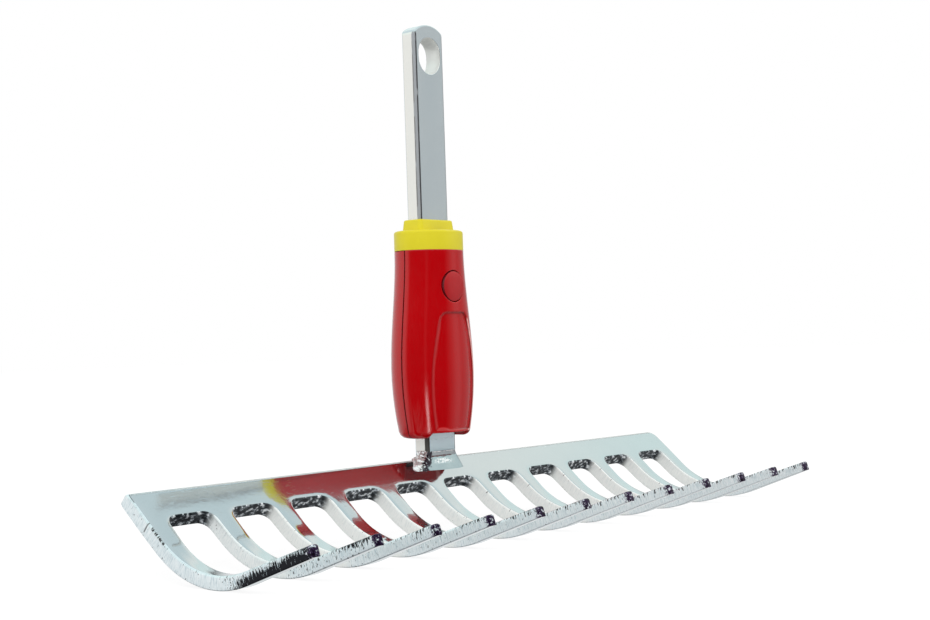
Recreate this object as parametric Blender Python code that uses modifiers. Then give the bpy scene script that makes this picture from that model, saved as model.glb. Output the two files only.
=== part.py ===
# Quick-change rake head. A stamped comb of twelve tines is welded to a flat steel tang. A grip
# housing of two plastic shells clasps the tang, and a collar cap holds the shells' lip and makes
# the shoulder that a handle rests on. A push button at the front swings a hooked latch lever.
#
# Frame: the origin is on the tang's axis, in the plane of the collar's shoulder. +Z runs up the
# tang, +X along the comb, and -Y points to the front, where the tines and the button are.

import math

import bmesh
import bpy
from mathutils import Matrix, Vector

MM = 0.001
GAP = 0.3 * MM

# Comb: a flat blank, bent into a J and cut into tapered tines
COMB_LENGTH = 350.0 * MM
TINE_COUNT = 12
PLATE_CORNER_LEFT = 0.8 * MM
PLATE_CORNER_RIGHT = 5.0 * MM
SHEET_THICKNESS = 6.1 * MM
TIP_THICKNESS = 4.5 * MM
PLATE_SLOPE = math.radians(40.8)
FLAT_DEPTH = 26.4 * MM
BEND_RADIUS = 42.6 * MM
BEND_ANGLE = math.radians(59.7)
BEND_STEPS = 10
TIP_STRAIGHT = 34.8 * MM
SLOT_START = 14.9 * MM
SLOT_CORNER_RADIUS = 4.5 * MM
SLOT_CORNER_STEPS = 4
TINE_ROOT_WIDTH = 9.7 * MM
TINE_BEND_WIDTH = 5.9 * MM
TINE_TIP_WIDTH = 3.6 * MM
TIP_ROUNDING = 1.1 * MM
COMB_EDGE_ROUNDING = 0.6 * MM

# Tang: rolled flat bar with an arched end and a hang-up hole
TANG_WIDTH = 20.0 * MM
TANG_THICKNESS = 8.4 * MM
TANG_RISE = 94.3 * MM
TANG_EDGE_ROUNDING = 1.8 * MM
TANG_END_RADIUS = 15.0 * MM
TANG_CORNER_RADIUS = 3.0 * MM
HANG_HOLE_WIDTH = 14.3 * MM
HANG_HOLE_HEIGHT = 16.5 * MM
HANG_HOLE_BELOW_END = 5.9 * MM
STEM_SHOWING = 8.55 * MM
RIDGE_FORWARD = 1.24 * MM

# Weld bead round the tang's foot
WELD_RISE = 2.35 * MM
WELD_TOE_FRONT = 8.35 * MM
WELD_TOE_REAR = 3.4 * MM
WELD_TOE_LEFT = 23.0 * MM
WELD_LEFT_RUN = 13.0 * MM
WELD_TOE_RIGHT = 12.4 * MM
WELD_THROAT = 0.8 * MM
WELD_ROOT_DEPTH = 1.2 * MM
WELD_SQUARENESS = 0.4
WELD_STEPS = 6

# Collar cap: an oval ring with a boss that the handle slides over
COLLAR_HALF_WIDTH = 17.6 * MM
COLLAR_HALF_DEPTH = 14.2 * MM
COLLAR_HEIGHT = 9.0 * MM
COLLAR_ROOF = 4.6 * MM
COLLAR_SKIRT = 1.1 * MM
COLLAR_EDGE_ROUNDING = 1.2 * MM
BOSS_HALF_WIDTH = 12.2 * MM
BOSS_HALF_DEPTH = 6.4 * MM
BOSS_HEIGHT = 5.1 * MM
BOSS_TAPER = 0.8 * MM
BOSS_CORNER_RADIUS = 2.2 * MM
BOSS_EDGE_ROUNDING = 0.8 * MM
HOOK_SLOT_WIDTH = 9.2 * MM
HOOK_SLOT_DEPTH = 4.4 * MM

# Grip housing: two shells that meet in a plane just in front of the tang's axis
GRIP_LENGTH = 84.5 * MM
SEAM_FORWARD = 0.8 * MM
BELLY_DROP = 54.0 * MM
BELLY_HALF_WIDTH = 22.0 * MM
BELLY_HALF_DEPTH = 16.0 * MM
FOOT_HALF_WIDTH = 18.2 * MM
FOOT_HALF_DEPTH = 13.6 * MM
FOOT_ROUNDING = 3.0 * MM
WALL = 2.8 * MM
FOOT_WALL = 3.0 * MM
RIB = 2.0 * MM
RIB_DROPS = (45.0 * MM, 71.0 * MM)
REAR_RIB_DROP = 11.0 * MM
FOOT_NOTCH_HALF_WIDTH = 12.8 * MM
FOOT_NOTCH_HEIGHT = 2.3 * MM
FOOT_NOTCH_ROUNDING = 0.9 * MM
PANEL_TOP_DROP = 27.6 * MM
PANEL_BELLY_DROP = 60.0 * MM
PANEL_BOTTOM_DROP = 81.6 * MM
PANEL_TOP_HALF_WIDTH = 9.8 * MM
PANEL_BELLY_HALF_WIDTH = 15.0 * MM
PANEL_BOTTOM_HALF_WIDTH = 12.3 * MM
PANEL_CORNER_RADIUS = 5.0 * MM
PANEL_FOOT_CHAMFER = 1.2 * MM
PANEL_RECESS = 1.1 * MM

# Push button
BUTTON_DROP = 25.7 * MM
BUTTON_RADIUS = 6.9 * MM
BUTTON_PROUD = 0.3 * MM
BUTTON_CROWN = 0.35 * MM
BUTTON_EDGE_ROUNDING = 0.5 * MM
BUTTON_BAR_WIDTH = 5.0 * MM
BUTTON_BAR_HEIGHT = 18.4 * MM
BUTTON_BAR_THICKNESS = 1.1 * MM
BUTTON_STEM_LENGTH = 1.0 * MM

# Latch lever, its pivot pin and its torsion spring
LEVER_THICKNESS = 1.3 * MM
LEVER_WIDTH = 9.0 * MM
LEVER_BACK = 7.3 * MM
LEVER_TOP_DROP = 12.0 * MM
LEVER_NOSE = 1.8 * MM
LEVER_NOSE_HEIGHT = 4.0 * MM
LEVER_NOSE_LIP = 1.4 * MM
PIVOT_DROP = 48.0 * MM
EYE_RADIUS = 3.0 * MM
EYE_WIDTH = 5.0 * MM
PIVOT_RADIUS = 1.5 * MM
LUG_THICKNESS = 2.7 * MM
LUG_HALF_HEIGHT = 4.5 * MM
SPRING_WIRE = 0.8 * MM
SPRING_RADIUS = 2.5 * MM
SPRING_TURNS = 3.5
SPRING_LEG = 9.0 * MM

# Locating pin through the tang, and the two screws that close the shells
LOCATING_PIN_RADIUS = 2.5 * MM
LOCATING_PIN_HALF_LENGTH = 11.2 * MM
LOCATING_PIN_ABOVE_FOOT = 22.2 * MM
LOCATING_BOSS_RADIUS = 5.6 * MM
SCREW_SIDE = 14.2 * MM
SCREW_DROP = 58.5 * MM
SCREW_SHANK_RADIUS = 1.4 * MM
SCREW_HEAD_RADIUS = 2.8 * MM
SCREW_FACE_RADIUS = 2.0 * MM
SCREW_HEAD_HEIGHT = 2.0 * MM
SCREW_HEAD_CROWN = 0.8 * MM
SCREW_SEAT = 6.1 * MM
SCREW_REACH = 13.4 * MM
SCREW_BOSS_RADIUS = 3.7 * MM

# Facets
OVAL_SEGMENTS = 48
GRIP_STEPS = 14
CAVITY_STEPS = 4
ROUND_SEGMENTS = 40
SMALL_SEGMENTS = 20
SPRING_STEPS = 44
SMOOTH_ANGLE = math.radians(32)
HALF_ROUND = 1 - math.cos(math.pi / 4)

GRIP_TOP = -(COLLAR_HEIGHT + GAP)
GRIP_BOTTOM = GRIP_TOP - GRIP_LENGTH
RIDGE_DROP = STEM_SHOWING - GRIP_BOTTOM
LOCATING_PIN_DROP = -GRIP_BOTTOM - LOCATING_PIN_ABOVE_FOOT
PARTS = bpy.data.collections.new("rake_head")
CUTTERS = bpy.data.collections.new("cutters")


def clear_scene():
    for old in list(bpy.data.objects):
        bpy.data.objects.remove(old, do_unlink=True)
    for group in (PARTS, CUTTERS):
        bpy.context.scene.collection.children.link(group)


def make_material(name, colour, roughness, metallic=0.0):
    material = bpy.data.materials.new(name)
    material.use_nodes = True
    shader = material.node_tree.nodes["Principled BSDF"]
    shader.inputs["Base Color"].default_value = (*colour, 1.0)
    shader.inputs["Roughness"].default_value = roughness
    shader.inputs["Metallic"].default_value = metallic
    return material


def add_object(name, mesh, material=None):
    """Link a mesh as a part when it has a material, and as a hidden wire cutter when it has none."""
    obj = bpy.data.objects.new(name, mesh)
    if material is None:
        CUTTERS.objects.link(obj)
        obj.display_type = "WIRE"
        obj.hide_render = True
    else:
        PARTS.objects.link(obj)
        mesh.materials.append(material)
    return obj


def object_from_bmesh(name, bm, material=None):
    bmesh.ops.recalc_face_normals(bm, faces=bm.faces)
    mesh = bpy.data.meshes.new(name)
    bm.to_mesh(mesh)
    bm.free()
    return add_object(name, mesh, material)


def shade_smooth(obj):
    obj.data.shade_smooth()
    obj.data.set_sharp_from_angle(angle=SMOOTH_ANGLE)


def add_box(bm, low, high):
    """Add a cube primitive that fills the box between two corners."""
    low = Vector(low)
    high = Vector(high)
    size = high - low
    place = Matrix.Translation((low + high) / 2) @ Matrix.Diagonal((*size, 1.0))
    bmesh.ops.create_cube(bm, size=1.0, matrix=place)


def add_cylinder(bm, radius, start, end, segments=SMALL_SEGMENTS):
    """Add a cylinder primitive whose axis runs from start to end, a facet facing each side."""
    start = Vector(start)
    end = Vector(end)
    along = end - start
    turn = Vector((0, 0, 1)).rotation_difference(along).to_matrix().to_4x4()
    half_facet = Matrix.Rotation(math.pi / segments, 4, "Z")
    place = Matrix.Translation((start + end) / 2) @ turn @ half_facet
    bmesh.ops.create_cone(bm, cap_ends=True, segments=segments, radius1=radius, radius2=radius,
                          depth=along.length, matrix=place)


def box_object(name, low, high, material=None):
    bm = bmesh.new()
    add_box(bm, low, high)
    return object_from_bmesh(name, bm, material)


def add_loft(bm, rings):
    """Join rings of equally many points with quads and close both ends. Earlier rings lie above."""
    loops = [[bm.verts.new(point) for point in ring] for ring in rings]
    count = len(loops[0])
    for upper, lower in zip(loops, loops[1:]):
        for k in range(count):
            following = (k + 1) % count
            bm.faces.new((upper[k], lower[k], lower[following], upper[following]))
    bm.faces.new(loops[0])
    bm.faces.new(list(reversed(loops[-1])))


def loft_object(name, rings, material=None):
    bm = bmesh.new()
    add_loft(bm, rings)
    return object_from_bmesh(name, bm, material)


def combine(target, tool, operation):
    step = target.modifiers.new(f"{operation.lower()}_{tool.name}", "BOOLEAN")
    step.operation = operation
    step.solver = "EXACT"
    step.object = tool


def cut(target, *tools):
    for tool in tools:
        combine(target, tool, "DIFFERENCE")


def join(target, *tools):
    for tool in tools:
        combine(target, tool, "UNION")


def round_edges(obj, width, segments, angle=math.radians(40)):
    bevel = obj.modifiers.new("rounded_edges", "BEVEL")
    bevel.width = width
    bevel.segments = segments
    bevel.limit_method = "ANGLE"
    bevel.angle_limit = angle


def plate_from_outline(name, loops, thickness, material=None):
    """Fill flat outlines (the first one outer, the rest holes) and give the plate its thickness.

    The plate lies in the XY plane of the outlines, centred on Z = 0. It is a filled 2D curve that
    is made a mesh, with its caps welded to its walls."""
    curve = bpy.data.curves.new(name, "CURVE")
    curve.dimensions = "2D"
    curve.fill_mode = "BOTH"
    curve.extrude = thickness / 2
    for loop in loops:
        spline = curve.splines.new("POLY")
        spline.points.add(len(loop) - 1)
        for point, (across, along) in zip(spline.points, loop):
            point.co = (across, along, 0.0, 1.0)
        spline.use_cyclic_u = True
    guide = bpy.data.objects.new(name + "_outline", curve)
    CUTTERS.objects.link(guide)
    graph = bpy.context.evaluated_depsgraph_get()
    mesh = bpy.data.meshes.new_from_object(guide.evaluated_get(graph))
    bpy.data.objects.remove(guide, do_unlink=True)
    bm = bmesh.new()
    bm.from_mesh(mesh)
    bmesh.ops.remove_doubles(bm, verts=bm.verts, dist=0.001 * MM)
    bmesh.ops.dissolve_limit(bm, angle_limit=math.radians(0.1), verts=bm.verts, edges=bm.edges)
    bm.to_mesh(mesh)
    bm.free()
    mesh.name = name
    return add_object(name, mesh, material)


def arc(centre, radius, start, end, steps):
    """Points on a circle from one angle to another, both ends included."""
    points = []
    for k in range(steps + 1):
        angle = start + (end - start) * k / steps
        points.append((centre[0] + radius * math.cos(angle), centre[1] + radius * math.sin(angle)))
    return points


def oval(half_width, half_depth, height, segments=OVAL_SEGMENTS):
    ring = []
    for k in range(segments):
        angle = 2 * math.pi * k / segments
        ring.append((half_width * math.cos(angle), half_depth * math.sin(angle), height))
    return ring


def rounded_rectangle(half_width, half_depth, corner, steps=5):
    """Outline of a rectangle about the axis, with round corners."""
    points = []
    for quarter, (side, end) in enumerate(((1, 1), (-1, 1), (-1, -1), (1, -1))):
        centre = (side * (half_width - corner), end * (half_depth - corner))
        start = quarter * math.pi / 2
        points += arc(centre, corner, start, start + math.pi / 2, steps)
    return points


# Comb

BEND_END = FLAT_DEPTH + BEND_RADIUS * BEND_ANGLE
TIP_END = BEND_END + TIP_STRAIGHT
TINE_PITCH = (COMB_LENGTH - TINE_ROOT_WIDTH) / (TINE_COUNT - 1)


def tine_centre(index):
    return -COMB_LENGTH / 2 + TINE_ROOT_WIDTH / 2 + index * TINE_PITCH


def tine_half_width(distance):
    """A tine narrows evenly from its root to the end of the bend, and from there to its tip."""
    if distance < BEND_END:
        share = (distance - SLOT_START) / (BEND_END - SLOT_START)
        return (TINE_ROOT_WIDTH + (TINE_BEND_WIDTH - TINE_ROOT_WIDTH) * share) / 2
    share = (distance - BEND_END) / TIP_STRAIGHT
    return (TINE_BEND_WIDTH + (TINE_TIP_WIDTH - TINE_BEND_WIDTH) * share) / 2


def comb_thickness(distance):
    """The sheet keeps its thickness to the start of the bend, and thins evenly to the tip."""
    share = max(0.0, (distance - FLAT_DEPTH) / (TIP_END - FLAT_DEPTH))
    return SHEET_THICKNESS + (TIP_THICKNESS - SHEET_THICKNESS) * share


def tine_outline(index):
    """One tine of the flat blank, down its right side, round the tip and up its left side."""
    centre = tine_centre(index)
    corner = SLOT_START + SLOT_CORNER_RADIUS
    last_corner = TIP_END - TIP_ROUNDING
    tip = tine_half_width(TIP_END)
    down = [(centre + tine_half_width(BEND_END), -BEND_END)]
    if index == TINE_COUNT - 1:
        down.insert(0, (centre + tine_half_width(SLOT_START), -SLOT_START))
    else:
        down.insert(0, (centre + tine_half_width(corner), -corner))
    inner = tip - TIP_ROUNDING
    down += arc((centre + inner, -last_corner), TIP_ROUNDING, 0, -math.pi / 2, 3)
    up = arc((centre - inner, -last_corner), TIP_ROUNDING, -math.pi / 2, -math.pi, 3)
    up.append((centre - tine_half_width(BEND_END), -BEND_END))
    if index == 0:
        up.append((centre - tine_half_width(SLOT_START), -SLOT_START))
    else:
        up.append((centre - tine_half_width(corner), -corner))
    return down + up


def slot_root(index):
    """The round-cornered root of the slot to the left of a tine, from right to left."""
    corner = SLOT_START + SLOT_CORNER_RADIUS
    right = tine_centre(index) - tine_half_width(corner) - SLOT_CORNER_RADIUS
    left = tine_centre(index - 1) + tine_half_width(corner) + SLOT_CORNER_RADIUS
    steps = SLOT_CORNER_STEPS
    points = arc((right, -corner), SLOT_CORNER_RADIUS, 0, math.pi / 2, steps)[1:]
    points += arc((left, -corner), SLOT_CORNER_RADIUS, math.pi / 2, math.pi, steps)[:-1]
    return points


def comb_blank():
    """Outline of the flat blank: X along the comb, and -Y down the tines from the back edge."""
    left = PLATE_CORNER_LEFT
    right = PLATE_CORNER_RIGHT
    outline = arc((left - COMB_LENGTH / 2, -left), left, math.pi, math.pi / 2, 3)
    outline += arc((COMB_LENGTH / 2 - right, -right), right, math.pi / 2, 0, 4)
    for index in reversed(range(TINE_COUNT)):
        outline += tine_outline(index)
        if index > 0:
            outline += slot_root(index)
    return list(reversed(outline))


def bent_place(distance, depth):
    """Y and Z of a point of the blank after bending.

    distance runs down the top face from the back edge: straight down the plate's slope, then
    round an arc whose centre lies above the plate, and straight on to the tip. depth goes from
    the top face into the sheet."""
    turned = min(max((distance - FLAT_DEPTH) / BEND_RADIUS, 0.0), BEND_ANGLE)
    before = min(distance, FLAT_DEPTH)
    after = max(distance - BEND_END, 0.0)
    start_y = -RIDGE_FORWARD - before * math.cos(PLATE_SLOPE)
    start_z = -RIDGE_DROP - before * math.sin(PLATE_SLOPE)
    centre_y = start_y - BEND_RADIUS * math.sin(PLATE_SLOPE)
    centre_z = start_z + BEND_RADIUS * math.cos(PLATE_SLOPE)
    slope = PLATE_SLOPE - turned
    reach = BEND_RADIUS + depth
    y = centre_y + reach * math.sin(slope) - after * math.cos(slope)
    z = centre_z - reach * math.cos(slope) - after * math.sin(slope)
    return y, z


def make_comb(material):
    comb = plate_from_outline("rake_comb", [comb_blank()], SHEET_THICKNESS, material)
    bm = bmesh.new()
    bm.from_mesh(comb.data)
    for step in range(BEND_STEPS + 1):
        distance = FLAT_DEPTH + BEND_RADIUS * BEND_ANGLE * step / BEND_STEPS
        bmesh.ops.bisect_plane(bm, geom=bm.verts[:] + bm.edges[:] + bm.faces[:],
                               dist=0.001 * MM, plane_co=(0, -distance, 0), plane_no=(0, -1, 0))
    for vertex in bm.verts:
        distance = -vertex.co.y
        share = 0.5 - vertex.co.z / SHEET_THICKNESS
        vertex.co.y, vertex.co.z = bent_place(distance, share * comb_thickness(distance))
    bm.to_mesh(comb.data)
    bm.free()
    round_edges(comb, COMB_EDGE_ROUNDING, 1, math.radians(50))
    shade_smooth(comb)
    return comb


# Tang and weld

def tang_outline():
    """Front outline of the bar: a square foot and an arched end with round corners."""
    half = TANG_WIDTH / 2
    corner = TANG_CORNER_RADIUS
    crown = TANG_RISE - TANG_END_RADIUS
    side = math.sqrt((TANG_END_RADIUS - corner) ** 2 - (half - corner) ** 2)
    lean = math.atan2(side, half - corner)
    top = arc((half - corner, crown + side), corner, 0, lean, 4)
    top += arc((0, crown), TANG_END_RADIUS, lean, math.pi - lean, 10)[1:-1]
    top += arc((corner - half, crown + side), corner, math.pi - lean, math.pi, 4)
    return [(-half, -RIDGE_DROP + GAP), (half, -RIDGE_DROP + GAP)] + top


def stand_up(obj):
    """Turn a plate from the XY plane to the XZ plane, its thickness along Y."""
    obj.data.transform(Matrix.Rotation(math.pi / 2, 4, "X"))


def obround(name, width, height, centre_height, depth):
    """A through cutter with half-round ends, its axis along Y."""
    radius = width / 2
    straight = height / 2 - radius
    loop = arc((0, centre_height + straight), radius, 0, math.pi, ROUND_SEGMENTS // 2)
    loop += arc((0, centre_height - straight), radius, math.pi, 2 * math.pi, ROUND_SEGMENTS // 2)
    cutter = plate_from_outline(name, [loop], depth)
    stand_up(cutter)
    return cutter


def make_tang(material):
    tang = plate_from_outline("tang", [tang_outline()], TANG_THICKNESS, material)
    stand_up(tang)
    round_edges(tang, TANG_EDGE_ROUNDING, 4, math.radians(60))
    centre = TANG_RISE - HANG_HOLE_BELOW_END - HANG_HOLE_HEIGHT / 2
    hole = obround("hang_hole", HANG_HOLE_WIDTH, HANG_HOLE_HEIGHT, centre, 3 * TANG_THICKNESS)
    bm = bmesh.new()
    add_cylinder(bm, LOCATING_PIN_RADIUS + GAP, (0, -TANG_THICKNESS, -LOCATING_PIN_DROP),
                 (0, TANG_THICKNESS, -LOCATING_PIN_DROP), ROUND_SEGMENTS // 2)
    cut(tang, hole, object_from_bmesh("locating_hole", bm))
    shade_smooth(tang)
    return tang


def ridge_height(y):
    """Height of the plate under a point: its top face slopes to the front, its cut edge back."""
    behind = y + RIDGE_FORWARD
    if behind < 0:
        return -RIDGE_DROP + behind * math.tan(PLATE_SLOPE)
    return -RIDGE_DROP - behind / math.tan(PLATE_SLOPE)


def weld_ring(share, segments=OVAL_SEGMENTS):
    """One ring of the bead. share 0 hugs the tang and share 1 is the toe on the plate.

    The half sizes grow with the square of the share, which makes the bead hollow, and the height
    falls evenly from the tang to just below the plate. The bead runs out further to the left, and
    most of all at its front left corner. At the rear, where the tang overhangs the plate's cut
    edge, it stays full and tucks in at its toe."""
    spread = share ** 2
    tuck = share ** 4
    side = TANG_WIDTH / 2 + WELD_THROAT
    front = TANG_THICKNESS / 2 + WELD_THROAT
    reach_front = front + (RIDGE_FORWARD + WELD_TOE_FRONT - front) * spread
    reach_rear = front + (WELD_TOE_REAR - RIDGE_FORWARD - front) * tuck
    ring = []
    for k in range(segments):
        angle = 2 * math.pi * k / segments
        across = abs(math.cos(angle)) ** WELD_SQUARENESS * math.copysign(1, math.cos(angle))
        along = abs(math.sin(angle)) ** WELD_SQUARENESS * math.copysign(1, math.sin(angle))
        toe_side = WELD_TOE_RIGHT
        if across < 0:
            toe_side = WELD_TOE_LEFT + WELD_LEFT_RUN * max(0.0, -along)
        y = along * (reach_rear if along > 0 else reach_front)
        top = -RIDGE_DROP + WELD_RISE
        z = top + (ridge_height(y) - WELD_ROOT_DEPTH - top) * share
        ring.append((across * (side + (toe_side - side) * spread), y, z))
    return ring


def make_weld(material):
    rings = [weld_ring(step / WELD_STEPS) for step in range(WELD_STEPS + 1)]
    weld = loft_object("weld_bead", rings, material)
    along = Vector((0, -math.cos(PLATE_SLOPE), -math.sin(PLATE_SLOPE)))
    inward = Vector((0, math.sin(PLATE_SLOPE), -math.cos(PLATE_SLOPE)))
    ridge = Vector((0, -RIDGE_FORWARD, -RIDGE_DROP))
    bm = bmesh.new()
    add_box(bm, (-COMB_LENGTH / 2, -GAP, -GAP), (COMB_LENGTH / 2, FLAT_DEPTH, FLAT_DEPTH))
    frame = Matrix((Vector((1, 0, 0)), along, inward)).transposed().to_4x4()
    bmesh.ops.transform(bm, matrix=Matrix.Translation(ridge) @ frame, verts=bm.verts)
    plate_space = object_from_bmesh("plate_space", bm)
    cut(weld, plate_space, tang_space("tang_foot_space", -RIDGE_DROP, -RIDGE_DROP / 2))
    shade_smooth(weld)
    return weld


def tang_space(name, low, high):
    """The tang's section with clearance all round, between two heights."""
    outline = rounded_rectangle(TANG_WIDTH / 2 + GAP, TANG_THICKNESS / 2 + GAP, TANG_EDGE_ROUNDING, 4)
    rings = [[(x, y, height) for x, y in outline] for height in (high, low)]
    return loft_object(name, rings)


# Grip housing

def grip_half_sizes(drop):
    """Half width and half depth of the grip at a distance below its top.

    They swell from the collar's oval to the belly with an S-shaped ease, and shrink from there to
    the foot with the square of the distance."""
    if drop < BELLY_DROP:
        share = max(drop, 0.0) / BELLY_DROP
        share = share * share * (3 - 2 * share)
        return (COLLAR_HALF_WIDTH + (BELLY_HALF_WIDTH - COLLAR_HALF_WIDTH) * share,
                COLLAR_HALF_DEPTH + (BELLY_HALF_DEPTH - COLLAR_HALF_DEPTH) * share)
    share = ((drop - BELLY_DROP) / (GRIP_LENGTH - BELLY_DROP)) ** 2
    return (BELLY_HALF_WIDTH + (FOOT_HALF_WIDTH - BELLY_HALF_WIDTH) * share,
            BELLY_HALF_DEPTH + (FOOT_HALF_DEPTH - BELLY_HALF_DEPTH) * share)


def grip_ring(drop, inset):
    half_width, half_depth = grip_half_sizes(drop)
    return oval(half_width - inset, half_depth - inset, GRIP_TOP - drop)


def grip_rings(start, end, inset, steps):
    return [grip_ring(start + (end - start) * k / steps, inset) for k in range(steps + 1)]


def grip_body_rings():
    """Outer form of the grip with the lip that the collar holds and a round-edged foot."""
    lip_inset = COLLAR_SKIRT + GAP
    lip_top = -(COLLAR_ROOF + GAP)
    lip = oval(COLLAR_HALF_WIDTH - lip_inset, COLLAR_HALF_DEPTH - lip_inset, lip_top)
    rings = [lip, grip_ring(0, lip_inset)]
    rings += grip_rings(0, GRIP_LENGTH - FOOT_ROUNDING, 0, GRIP_STEPS)
    for angle in (30, 60, 90):
        lean = math.radians(angle)
        drop = GRIP_LENGTH - FOOT_ROUNDING * (1 - math.sin(lean))
        rings.append(grip_ring(drop, FOOT_ROUNDING * (1 - math.cos(lean))))
    return rings


def grip_bosses(front):
    """What stands in the hollow: the pin and screw bosses, and the latch's lugs in the front."""
    bm = bmesh.new()
    deep = BELLY_HALF_DEPTH * 2
    towards = -deep if front else deep
    add_cylinder(bm, LOCATING_BOSS_RADIUS, (0, -SEAM_FORWARD, -LOCATING_PIN_DROP),
                 (0, towards, -LOCATING_PIN_DROP), ROUND_SEGMENTS // 2)
    for side in (-SCREW_SIDE, SCREW_SIDE):
        add_cylinder(bm, SCREW_BOSS_RADIUS, (side, -SEAM_FORWARD, -SCREW_DROP),
                     (side, towards, -SCREW_DROP))
    if front:
        inner = LEVER_WIDTH / 2 + GAP
        lug_back = -(LEVER_BACK + LEVER_THICKNESS / 2 - EYE_RADIUS)
        for low, high in ((-inner - LUG_THICKNESS, -inner), (inner, inner + LUG_THICKNESS)):
            add_box(bm, (low, -deep, -PIVOT_DROP - LUG_HALF_HEIGHT),
                    (high, lug_back, -PIVOT_DROP + LUG_HALF_HEIGHT))
    return object_from_bmesh("front_bosses" if front else "rear_bosses", bm)


def grip_cavity(front):
    """The hollow of one shell, in chambers with ribs left between them and the bosses spared."""
    walls = [] if front else [REAR_RIB_DROP]
    walls += list(RIB_DROPS)
    start = -WALL * 2
    bm = bmesh.new()
    for wall in walls + [GRIP_LENGTH - FOOT_WALL]:
        add_loft(bm, grip_rings(start, wall, WALL, CAVITY_STEPS))
        start = wall + RIB
    cavity = object_from_bmesh("front_cavity" if front else "rear_cavity", bm)
    cut(cavity, grip_bosses(front))
    return cavity


def grip_shell(name, front, material):
    shell = loft_object(name, grip_body_rings(), material)
    wide = BELLY_HALF_WIDTH * 2
    low = -SEAM_FORWARD - GAP / 2 if front else -wide
    high = wide if front else -SEAM_FORWARD + GAP / 2
    other_half = box_object(name + "_other_half", (-wide, low, GRIP_BOTTOM - wide), (wide, high, wide))
    passage = tang_space(name + "_tang_passage", GRIP_BOTTOM - GRIP_LENGTH, GRIP_LENGTH)
    cut(shell, grip_cavity(front), other_half, passage)
    return shell


def pin_and_screw_bores(name, front):
    """Blind bores for the locating pin and the screws. The rear ones also seat the screw heads."""
    bm = bmesh.new()
    deep = BELLY_HALF_DEPTH * 2
    ways = -1 if front else 1
    add_cylinder(bm, LOCATING_PIN_RADIUS + GAP, (0, -SEAM_FORWARD, -LOCATING_PIN_DROP),
                 (0, ways * (LOCATING_PIN_HALF_LENGTH + GAP), -LOCATING_PIN_DROP),
                 ROUND_SEGMENTS // 2)
    for side in (-SCREW_SIDE, SCREW_SIDE):
        end = -(SCREW_REACH - SCREW_SEAT + GAP) if front else deep
        add_cylinder(bm, SCREW_SHANK_RADIUS + GAP, (side, -SEAM_FORWARD, -SCREW_DROP),
                     (side, end, -SCREW_DROP))
    return object_from_bmesh(name, bm)


def screw_head_seats():
    bm = bmesh.new()
    for side in (-SCREW_SIDE, SCREW_SIDE):
        add_cylinder(bm, SCREW_HEAD_RADIUS + GAP, (side, SCREW_SEAT, -SCREW_DROP),
                     (side, BELLY_HALF_DEPTH * 2, -SCREW_DROP))
    return object_from_bmesh("screw_head_seats", bm)


def panel_outline():
    """Front outline of the label panel: a shield, narrow at its top, widest at the belly."""
    top = GRIP_TOP - PANEL_TOP_DROP
    bottom = GRIP_TOP - PANEL_BOTTOM_DROP
    belly = GRIP_TOP - PANEL_BELLY_DROP
    corner = PANEL_CORNER_RADIUS
    foot = bottom + PANEL_FOOT_CHAMFER
    right = [(PANEL_BOTTOM_HALF_WIDTH - PANEL_FOOT_CHAMFER, bottom), (PANEL_BOTTOM_HALF_WIDTH, foot)]
    for step in range(1, 6):
        share = step / 5
        ease = 1 - (1 - share) ** 2
        right.append((PANEL_BOTTOM_HALF_WIDTH
                      + (PANEL_BELLY_HALF_WIDTH - PANEL_BOTTOM_HALF_WIDTH) * ease,
                      foot + (belly - foot) * share))
    for step in range(1, 5):
        share = step / 5
        ease = share * share * (3 - 2 * share)
        right.append((PANEL_BELLY_HALF_WIDTH
                      - (PANEL_BELLY_HALF_WIDTH - PANEL_TOP_HALF_WIDTH) * ease,
                      belly + (top - corner - belly) * share))
    right += arc((PANEL_TOP_HALF_WIDTH - corner, top - corner), corner, 0, math.pi / 2, 6)
    left = [(-x, z) for x, z in reversed(right)]
    return right + left


def panel_cutter():
    """A shallow recess with a floor that follows the grip's own surface."""
    deep = BELLY_HALF_DEPTH * 2
    recess = plate_from_outline("panel_recess", [panel_outline()], deep)
    stand_up(recess)
    recess.data.transform(Matrix.Translation((0, -deep / 2, 0)))
    floor = loft_object("panel_floor", grip_rings(0, GRIP_LENGTH, PANEL_RECESS, GRIP_STEPS))
    cut(recess, floor)
    return recess


def make_front_shell(material):
    shell = grip_shell("housing_front", True, material)
    bm = bmesh.new()
    add_cylinder(bm, BUTTON_RADIUS + GAP, (0, -BELLY_HALF_DEPTH * 2, -BUTTON_DROP),
                 (0, -LEVER_BACK, -BUTTON_DROP), ROUND_SEGMENTS)
    button_hole = object_from_bmesh("button_hole", bm)
    notch = box_object("foot_notch",
                       (-FOOT_NOTCH_HALF_WIDTH, -BELLY_HALF_DEPTH * 2, GRIP_BOTTOM - FOOT_ROUNDING),
                       (FOOT_NOTCH_HALF_WIDTH, 0, GRIP_BOTTOM + FOOT_NOTCH_HEIGHT))
    round_edges(notch, FOOT_NOTCH_ROUNDING, 3)
    lever_middle = -(LEVER_BACK + LEVER_THICKNESS / 2)
    bm = bmesh.new()
    add_cylinder(bm, PIVOT_RADIUS + GAP, (-BELLY_HALF_WIDTH / 2, lever_middle, -PIVOT_DROP),
                 (BELLY_HALF_WIDTH / 2, lever_middle, -PIVOT_DROP))
    pivot_bore = object_from_bmesh("pivot_bore", bm)
    cut(shell, pin_and_screw_bores("front_bores", True), button_hole, notch, pivot_bore,
        panel_cutter())
    shade_smooth(shell)
    return shell


def make_rear_shell(material):
    shell = grip_shell("housing_rear", False, material)
    cut(shell, pin_and_screw_bores("rear_bores", False), screw_head_seats())
    shade_smooth(shell)
    return shell


# Collar

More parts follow.
